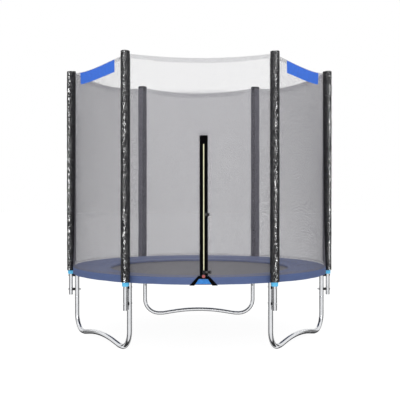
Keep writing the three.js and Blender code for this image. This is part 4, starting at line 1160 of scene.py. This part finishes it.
def lay_cloth(obj, coords_2d, strands):
    """Store the cloth's own coordinates in metres, and its strand widths."""
    mesh = obj.data
    order = np.empty(len(mesh.loops), dtype=int)
    mesh.loops.foreach_get("vertex_index", order)
    mesh.uv_layers.new(name="cloth").data.foreach_set("uv", np.asarray(coords_2d, float)[order].ravel())
    mesh.attributes.new("strand", "FLOAT", "POINT").data.foreach_set("value", strands)


for span in SPANS:
    points, faces, coords_2d, strands = make_net(span)
    panel = make("net_" + span, points, faces, NET_CLOTH_LOOK, 60)
    lay_cloth(panel, coords_2d, strands)
    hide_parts("net_panel_" + span)
    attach(panel, "frame")

# Near and far end of each patch along its panel, at its top and at its foot
PATCH_ENDS = {"left_front": (0.127, 0.783, 0.150, 0.795), "right_front": (0.245, 0.873, 0.235, 0.850)}
PATCH_HEIGHT, PATCH_DROP = 0.084, 0.004
PATCH_BACK, PATCH_THICKNESS = 0.0008, 0.001


def make_patch(span):
    """A hemmed cloth patch on the outside of a net panel, its thread and its flat size."""
    near_top, far_top, near_foot, far_foot = PATCH_ENDS[span]
    rows, count, inset = 10, 60, 0.005
    length = (far_top - near_top + far_foot - near_foot) / 2 * NET_WIDTH
    margin, rise = inset / length, inset / PATCH_HEIGHT

    def across(share, v):
        """Place along the panel at a share of the patch's length, v = 0 at its foot and 1 at its top."""
        start, end = near_foot + (near_top - near_foot) * v, far_foot + (far_top - far_foot) * v
        return start + (end - start) * share

    def level(u, v):
        return net_top(span, u) - PATCH_DROP - PATCH_HEIGHT * (1 - v)

    def thread_row(places):
        places = [(across(share, v), v) for share, v in places]
        path = [net_point(span, u, level(u, v), PATCH_BACK + PATCH_THICKNESS + 0.0002) for u, v in places]
        return stitches(path, [tuple(polar(1, span_angle(span) + SPAN * u)) for u, v in places])

    points = []
    for side in (1, 0):
        for r in range(rows):
            for c in range(count):
                v = r / (rows - 1)
                u = across(c / (count - 1), v)
                z = level(u, v)
                slack = 0.0006 * noise.noise(Vector((u * 22, z * 18, 5.0))) if 0 < r < rows - 1 else 0.0
                hem = 0.0004 if r in (0, rows - 1) or c in (0, count - 1) else 0.0
                points.append(net_point(span, u, z, PATCH_BACK + side * (PATCH_THICKNESS + slack - hem)))
    threads = [thread_row([(c, v) for c in np.linspace(margin, 1 - margin, 80)]) for v in (rise, 1 - rise)]
    threads += [thread_row([(c, v) for v in np.linspace(rise, 1 - rise, 9)]) for c in (margin, 1 - margin)]
    return (points, sheet_faces(rows, count, flip=True)), merge(*threads), (length, PATCH_HEIGHT)


for span in ("left_front", "right_front"):
    part, thread, flat = make_patch(span)
    patch = make("patch_cloth_" + span, *part, PATCH_CLOTH, 60)
    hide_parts("patch_" + span)
    patch_thread = make("patch_thread_" + span, *thread, PATCH_THREAD)
    for obj in (patch, patch_thread):
        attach(obj, "frame")

# ------------------------------------------------------------------ door: zip, buckles, straps, flap, tag

DOOR_FOOT = Vector((0.0219747, -0.9168568, 0.498))
DOOR_LEAN = math.asin(0.08794886)
DOOR_LENGTH = 0.88041
DOOR = Matrix.Translation(DOOR_FOOT) @ Matrix.Rotation(-DOOR_LEAN, 4, "X")
FACE_ON = Matrix.Rotation(math.pi / 2, 4, "X")  # a plate in XY turned to face the front
# On the door, measured from its foot: across, depth (minus is to the front) and up
TAPE_HALF = 0.0255
TAPE_BACK, TAPE_FACE = -0.0017, -0.0037
CHAIN_FOOT, CHAIN_TOP, TOOTH_PITCH = 0.011, 0.824, 0.0032
SLIDER_BOTTOM, SLIDER_HEIGHT = 0.011, 0.022
PULL_AXIS = Vector((0, -0.01265, SLIDER_BOTTOM + 0.014))
PULL_LENGTH = 0.020
BUCKLE_MIDDLE_Y, BUCKLE_DEPTH, BUCKLE_HALF = -0.0070, 0.0060, 0.0095
BUCKLES = {"middle": (0.010, 0.380), "lower": (0.018, 0.0226)}  # left edge of the socket, middle height
# On the skirt under the door, measured from the door's middle: (across, height)
FLAP_INSIDE, FLAP_THICKNESS = 0.9191, 0.0008
FLAP_TOP, FLAP_FOOT, FLAP_REACH = (0.034, 0.4767), 0.4475, 0.056
STRAP_INSIDE, STRAP_THICKNESS = 0.9202, 0.0015
STRAP_TOP, STRAP_FOOT, STRAP_REACH = (0.033, 0.4977), 0.437, 0.088
CROTCH_Z, CROTCH, STRAP_END = 0.4797, {-1: 0.029, 1: 0.025}, {-1: 0.058, 1: 0.054}


def on_door(*parts):
    return moved(merge(*parts), DOOR)


def face_on(y, outlines, thickness, bevel=0.0004):
    """A plate drawn across and up, facing the front at depth y."""
    return moved(plate(outlines, thickness, bevel), Matrix.Translation((0, y, 0)) @ FACE_ON)


def make_tape():
    """Two woven tapes side by side with a corded edge under the teeth."""
    columns = [-TAPE_HALF, -TAPE_HALF + 0.0006, -0.0185, -0.0182, -0.0065, -0.0050, -0.0012, -0.0002]
    lift = [0.0006, 0.0, 0.0, 0.0004, 0.0004, -0.0003, -0.0003, 0.0004]
    columns, lift = columns + [-x for x in columns[::-1]], lift + lift[::-1]
    heights = np.linspace(0, DOOR_LENGTH, 120)
    front = [(x, TAPE_FACE + rise, z) for z in heights for x, rise in zip(columns, lift)]
    back = [(x, TAPE_BACK - 0.0004 * (abs(x) == TAPE_HALF), z) for z in heights for x in columns]
    return on_door((front + back, sheet_faces(len(heights), len(columns))))


def make_teeth():
    """Interlocking moulded teeth: each has a head past the middle and two feet on its own tape."""
    side = [(-0.0031, 0.00085), (-0.0016, 0.00085), (-0.0012, 0.00050), (0.0002, 0.00050), (0.0010, 0.00105),
            (0.0018, 0.00095)]
    outline = [(x, -y) for x, y in side] + [(0.0021, 0.0)] + side[::-1]
    tooth = face_on(TAPE_FACE - 0.0011, [outline], 0.0022, 0.0003)
    teeth = (tooth, moved(tooth, Matrix.Scale(-1, 4, (1, 0, 0))))
    parts = []
    for x in (-0.0017, 0.0017):
        cord = [(x, TAPE_FACE - 0.0004, z) for z in np.linspace(CHAIN_FOOT, CHAIN_TOP, 60)]
        parts.append(tube(cord, 0.0012, 8, up=(0, 1, 0)))
    for index, z in enumerate(np.arange(CHAIN_FOOT + 0.001, CHAIN_TOP - 0.001, TOOTH_PITCH / 2)):
        parts.append(moved(teeth[index % 2], Matrix.Translation((0, 0, z))))
    return on_door(*parts)


def make_stops():
    """The two stops at the zip's head."""
    outlines = [rounded_box(x - 0.0022, x + 0.0022, CHAIN_TOP, CHAIN_TOP + 0.006, 0.0006)
                for x in (-0.0035, 0.0035)]
    return on_door(*(face_on(TAPE_FACE - 0.0012, [outline], 0.0026) for outline in outlines))


def tape_thread():
    """Four rows of thread up the tape, and two across it at each end."""
    y, end = TAPE_FACE - 0.0001, DOOR_LENGTH
    rows = [[(x, y, z) for z in np.linspace(0.004, end - 0.004, 40)]
            for x in (-0.0225, 0.0225, -0.0205, 0.0205)]
    rows += [[(x, y, z) for x in np.linspace(-0.023, 0.023, 12)]
             for z in (0.005, 0.009, end - 0.005, end - 0.009)]
    return on_door(*(stitches(row, (0, -1, 0)) for row in rows))


def make_slider():
    """Wedge-shaped slider: a shield over the chain, a flange down each side of it and a bail on its face."""
    bottom, top = SLIDER_BOTTOM, SLIDER_BOTTOM + SLIDER_HEIGHT
    outline = rounded([
        (-0.0062, bottom), (0.0062, bottom), (0.0088, bottom + 0.010), (0.0088, top - 0.002),
        (0.0055, top), (-0.0055, top), (-0.0088, top - 0.002), (-0.0088, bottom + 0.010)], 0.0022)
    front = face_on(-0.0080, [outline], 0.0018, 0.0006)
    sides = []
    for s in (-1, 1):
        flange = rounded([(s * 0.0064, bottom + 0.004), (s * 0.0086, bottom + 0.010),
                          (s * 0.0086, top - 0.003), (s * 0.0070, top - 0.0015)][::s], 0.0006, 2)
        sides.append(face_on(-0.0061, [flange], 0.0040, 0.0003))
    y, z = PULL_AXIS.y, PULL_AXIS.z
    bail = [(0, -0.0086, z - 0.0068), (0, -0.0100, z - 0.0060), (0, y - 0.0022, z - 0.0030),
            (0, y - 0.0026, z), (0, y - 0.0018, z + 0.0026), (0, -0.0104, z + 0.0045),
            (0, -0.0086, z + 0.0050)]
    return on_door(front, *sides, tube(bail, 0.0009, 10, up=(1, 0, 0)))


def make_pull():
    """Moulded pull: a cross bar through the bail, a waist and a grip with raised ribs."""
    half, tip = 0.0055, 0.00275
    bar, end = 0.0011, 0.0011 - PULL_LENGTH
    outline = rounded([(-half, bar), (-half * 0.75, end + 0.010), (-half, end + 0.0048), (-tip, end),
                       (tip, end), (half, end + 0.0048), (half * 0.75, end + 0.010), (half, bar)], 0.0012)
    hole = rounded_box(-0.0030, 0.0030, -0.0068, -0.0012, 0.0008)[::-1]
    rib = plate([rounded_box(-0.0030, 0.0030, -0.0004, 0.0004, 0.0003, 1)], 0.0028, 0.0003)
    ribs = [moved(rib, Matrix.Translation((0, -0.0092 - 0.0021 * k, 0))) for k in range(4)]
    pull = merge(plate([outline, hole], 0.0022, 0.0006), *ribs)
    return on_door(moved(pull, Matrix.Translation(PULL_AXIS) @ FACE_ON))


def make_socket(left, height):
    """Side-release socket: a rounded shell open to the right, with windows at both sides for the prongs."""
    right, low_z, high_z, middle = left + 0.015, height - BUCKLE_HALF, height + BUCKLE_HALF, BUCKLE_MIDDLE_Y
    outline = rounded([(left, low_z + 0.0015), (left + 0.003, low_z), (right, low_z), (right, high_z),
                       (left + 0.003, high_z), (left, high_z - 0.0015)], 0.0012)
    shell = face_on(middle, [outline], BUCKLE_DEPTH, 0.0012)
    inner, outer, bottom, top = right - 0.0112, right + 0.004, height - 0.0068, height + 0.0068
    mouth = face_on(middle, [[(inner, bottom), (outer, bottom), (outer, top), (inner, top)]], 0.0034, 0.0002)
    windows = [face_on(middle, [rounded_box(left + 0.005, right - 0.0030, z - 0.0016, z + 0.0016, 0.0008)],
                       0.0030, 0.0002) for z in (low_z, high_z)]
    groove = face_on(middle - BUCKLE_DEPTH / 2, [rounded_box(left + 0.0035, right - 0.004, height - 0.0022,
                                                             height + 0.0022, 0.0015)], 0.0006, 0.0001)
    return on_door(cut(shell, mouth, *windows, groove))


def make_plug(left, height):
    """Side-release plug: a slotted body, a middle guide and two sprung prongs with barbs."""
    start = left + 0.0153
    end, low_z, high_z, middle = start + 0.0137, height - BUCKLE_HALF, height + BUCKLE_HALF, BUCKLE_MIDDLE_Y
    outline = rounded([(start, low_z), (end - 0.003, low_z), (end, low_z + 0.0018), (end, high_z - 0.0018),
                       (end - 0.003, high_z), (start, high_z)], 0.0010)
    slot = rounded_box(end - 0.0052, end - 0.0028, height - 0.0058, height + 0.0058, 0.0008)[::-1]
    guide = rounded_box(start - 0.0100, start + 0.001, height - 0.0009, height + 0.0009, 0.0005)
    prong = [(0.001, 0.0030), (0.001, 0.0050), (-0.0040, 0.0060), (-0.0072, 0.0060), (-0.0105, 0.0044),
             (-0.0098, 0.0036), (-0.0050, 0.0042)]
    prongs = [[(start + x, height + s * y) for x, y in prong][::-s] for s in (-1, 1)]
    return on_door(face_on(middle, [outline, slot], BUCKLE_DEPTH, 0.0010),
                   *(face_on(middle, [shape], 0.0026, 0.0003) for shape in (guide, *prongs)))


def cloth_strip(point_of, columns, rows):
    """A closed thin piece from point_of(u, v, side) over a grid."""
    points = [point_of(c / (columns - 1), r / (rows - 1), side)
              for side in (1, 0) for r in range(rows) for c in range(columns)]
    return points, sheet_faces(rows, columns)


def on_skirt(x, z, radius):
    return Vector((DOOR_X + x, -math.sqrt(radius * radius - (DOOR_X + x) ** 2), z))


def between(x, near, far):
    """Height at x on the line from near to far, each (x, height), level beyond them."""
    share = min(1, max(0, (x - near[0]) / (far[0] - near[0])))
    return near[1] + (far[1] - near[1]) * share


def strap_edges(x):
    """Upper and lower edge of the straps at a place across from the door's middle."""
    side, apart = (1 if x > 0 else -1), abs(x)
    return (between(apart, STRAP_TOP, (STRAP_REACH, STRAP_FOOT + 0.001)),
            between(apart, (CROTCH[side], CROTCH_Z), (STRAP_END[side], STRAP_FOOT)))


def flap_point(u, v, side):
    x = FLAP_REACH * (2 * u - 1)
    top = between(abs(x), FLAP_TOP, (FLAP_REACH, FLAP_FOOT + 0.001))
    return on_skirt(x, FLAP_FOOT + (top - FLAP_FOOT) * v, FLAP_INSIDE + FLAP_THICKNESS * side)


def strap_point(u, v, side):
    x = STRAP_REACH * (2 * u - 1)
    top, bottom = strap_edges(x)
    return on_skirt(x, bottom + (top - bottom) * v, STRAP_INSIDE + STRAP_THICKNESS * side)


def strap_thread():
    """Two rows of thread beside each edge of a strap, where the strap is wide enough."""
    radius, parts = STRAP_INSIDE + STRAP_THICKNESS + 0.0001, []
    for s, inset, upper in itertools.product((-1, 1), (0.0025, 0.0045), (True, False)):
        path = []
        for x in np.linspace(0.004, STRAP_REACH - 0.007, 24):
            top, bottom = strap_edges(s * x)
            if top - bottom > 2 * inset + 0.001 and (upper or x < STRAP_END[s] - 0.001):
                path.append(on_skirt(s * x, top - inset if upper else bottom + inset, radius))
        parts.append(stitches(path[::s], (0, -1, 0), pitch=0.0032, length=0.0022, width=0.0005))
    return merge(*parts)


def flap_thread():
    z, radius = FLAP_FOOT + 0.0035, FLAP_INSIDE + FLAP_THICKNESS + 0.0001
    path = [on_skirt(x, z, radius) for x in np.linspace(-0.05, 0.05, 20)]
    return stitches(path, (0, -1, 0), pitch=0.0030, length=0.0020, width=0.0005)


def make_tag():
    """A round tag: a dark moulded rim and a bare, dusty red face set into it."""
    back, depth, axis = high("door_tag").y, high("door_tag").y - low("door_tag").y, 0.00002
    rim = lathe([(0.0100, 0.0), (0.0128, 0.0), (0.0135, 0.0004), (0.0135, depth - 0.0004), (0.0131, depth),
                 (0.0112, depth), (0.0106, depth - 0.0004), (0.0100, depth - 0.0005)], 72, closed=True)
    face = lathe([(axis, 0.0002), (0.0101, 0.0002), (0.0101, depth - 0.0006), (0.006, depth - 0.0004),
                  (axis, depth - 0.0003)], 72)
    centre = (low("door_tag") + high("door_tag")) / 2
    place = Matrix.Translation((centre.x, back, centre.z)) @ FACE_ON
    return moved(rim, place), moved(face, place)


def make_stub():
    """Short grey straps from the tape to the back bar of each socket."""
    half, thin = 0.0065, 0.0005
    front, back = BUCKLE_MIDDLE_Y - BUCKLE_DEPTH / 2 - 0.0009, TAPE_FACE - 0.0007
    parts = []
    for left, height in BUCKLES.values():
        root = max(left - 0.012, 0.0098)
        line = [(root, back), (max(left - 0.004, root + 0.0004), back), (left - 0.0015, (front + back) / 2),
                (left + 0.0005, front), (left + 0.0055, front)]
        parts.append(loft([[(x, y - thin, height - half), (x, y - thin, height + half),
                            (x, y + thin, height + half), (x, y + thin, height - half)] for x, y in line]))
    return on_door(*parts)


tape = make("zip_tape", *make_tape(), WEBBING, 30)
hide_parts("door_zip_tape")
teeth = make("zip_teeth", *make_teeth(), ZIP_TEETH, 30)
stops = make("zip_stops", *make_stops(), BLACK_PLASTIC, 30)
thread = make("tape_thread", *tape_thread(), BLACK_THREAD)
stub = make("buckle_straps", *make_stub(), GREY_WEBBING, 30)
for obj in (tape, teeth, stops, thread, stub):
    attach(obj, "frame")
slider = make("slider_body", *make_slider(), BLACK_PLASTIC, 30)
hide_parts("zip_slider")
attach(slider, "zip_slider")
pull = make("pull_tab", *make_pull(), BLACK_PLASTIC, 30)
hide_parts("zip_pull")
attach(pull, "zip_pull")
for name, (left, height) in BUCKLES.items():
    socket = make("socket_" + name, *make_socket(left, height), BLACK_PLASTIC, 30)
    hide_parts("buckle_socket_" + name)
    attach(socket, "frame")
    plug = make("plug_" + name, *make_plug(left, height), BLACK_PLASTIC, 30)
    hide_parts("buckle_plug_" + name)
    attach(plug, name + "_plug")

flap = make("flap", *cloth_strip(flap_point, 40, 10), BLUE_CLOTH, 60)
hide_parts("door_flap")
straps = make("v_straps", *cloth_strip(strap_point, 69, 8), WEBBING, 60)
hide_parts("door_straps")
straps_thread = make("strap_thread", *strap_thread(), BLACK_THREAD)
flap_stitch = make("flap_thread", *flap_thread(), PATCH_THREAD)
tag_rim, tag_face = make_tag()
tag = make("tag_face", *tag_face, TAG_RED, 30)
rim = make("tag_rim", *tag_rim, BLACK_PLASTIC, 30)
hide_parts("door_tag")
for obj in (flap, straps, straps_thread, flap_stitch, tag, rim):
    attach(obj, "frame")

# ------------------------------------------------------------------ floor, light and camera


def floor_look():
    """Matt floor that glows where the camera sees it, so that it reads as a white background."""
    material = bpy.data.materials.new("studio_floor")
    material.use_nodes = True
    tree = material.node_tree
    tree.nodes.clear()
    ray = node(tree, "LightPath")
    seen = maths(tree, "MAXIMUM", ray.outputs["Is Camera Ray"],
                 maths(tree, "MAXIMUM", ray.outputs["Is Glossy Ray"], ray.outputs["Is Transmission Ray"]))
    plain = node(tree, "BsdfDiffuse", {"Color": (0.15, 0.15, 0.15, 1)})
    strength = maths(tree, "ADD", maths(tree, "MULTIPLY", seen, 0.46), 0.48)
    glow = node(tree, "Emission", {"Color": (1, 1, 1, 1), "Strength": strength})
    both = node(tree, "AddShader", {0: plain, 1: glow})
    node(tree, "OutputMaterial", {"Surface": both})
    return material


def area_light(name, place, target, size, power, height=None):
    lamp = bpy.data.lights.new(name, "AREA")
    lamp.energy = power
    lamp.shape = "RECTANGLE" if height else "SQUARE"
    lamp.size = size
    if height:
        lamp.size_y = height
    obj = bpy.data.objects.new(name, lamp)
    bpy.context.collection.objects.link(obj)
    obj.location = place
    obj.rotation_euler = (Vector(target) - Vector(place)).to_track_quat("-Z", "Y").to_euler()
    obj.visible_camera = False
    return obj


floor = make("studio_floor", [(-40, -40, -0.0005), (40, -40, -0.0005), (40, 40, -0.0005), (-40, 40, -0.0005)],
             [(0, 1, 2, 3)], floor_look())
floor.visible_glossy = False

world = bpy.data.worlds.new("studio")
world.use_nodes = True
bpy.context.scene.world = world
tree = world.node_tree
tree.nodes.clear()
ray = node(tree, "LightPath")
direction = node(tree, "SeparateXYZ", {"Vector": node(tree, "TexCoord").outputs["Generated"]})
backward = maths(tree, "MULTIPLY_ADD", direction.outputs[1], 0.5, 0.5)
flags = ramp(tree, backward, (0.0, 1.0), (0.25, 1.0), (0.33, 0.05), (0.675, 0.05), (0.695, 1.0), (0.79, 1.0),
             (0.81, 0.05), (0.95, 0.05), (0.985, 0.6))
level = node(tree, "MapRange", {"Value": direction.outputs[2], "From Min": 0.15, "From Max": 0.19,
                                "To Min": 0.0, "To Max": 1.0})
mirrored = node(tree, "Mix", {"Factor": level, "A": flags, "B": 1.0}, data_type="FLOAT")
direct = maths(tree, "MAXIMUM", ray.outputs["Is Camera Ray"], ray.outputs["Is Transmission Ray"])
plain = maths(tree, "MAXIMUM", direct, 0.72)
strength = node(tree, "Mix", {"Factor": ray.outputs["Is Glossy Ray"], "A": plain, "B": mirrored},
                data_type="FLOAT")
background = node(tree, "Background", {"Color": (1, 1, 1, 1), "Strength": strength})
node(tree, "OutputWorld", {"Surface": background})

area_light("top_softbox", (0, -0.4, 4.2), (0, 0, 0.6), 3.2, 40)
area_light("front_softbox", (0, -6.5, 3.2), (0, 0, 0.9), 3.0, 100)
for side, post, turn in ((-1, "front_left", 32), (1, "front_right", 32), (-1, "left", 50), (1, "right", 50)):
    pole_at = polar(POST_RADIUS, post_angle(post), 1.15)
    reach = Vector((side * math.sin(math.radians(turn)), -math.cos(math.radians(turn)), 0)) * 2.2
    strip = area_light("strip_" + post, pole_at + reach, pole_at, 0.22, 165 if turn < 40 else 225, 3.4)
    strip.visible_diffuse = False
    lit = bpy.data.collections.new("lit_by_strip_" + post)
    lit.objects.link(bpy.data.objects["sleeve_" + post])
    strip.light_linking.receiver_collection = lit

camera = bpy.data.objects.new("camera", bpy.data.cameras.new("camera"))
bpy.context.collection.objects.link(camera)
camera.location = (-0.0324, -5.778, 0.995)
camera.rotation_euler = (math.radians(90 - 0.318), 0, math.radians(-0.365))
camera.data.lens = 70.6
camera.data.sensor_width = 36
bpy.context.scene.camera = camera
bpy.context.scene.view_settings.view_transform = "Standard"
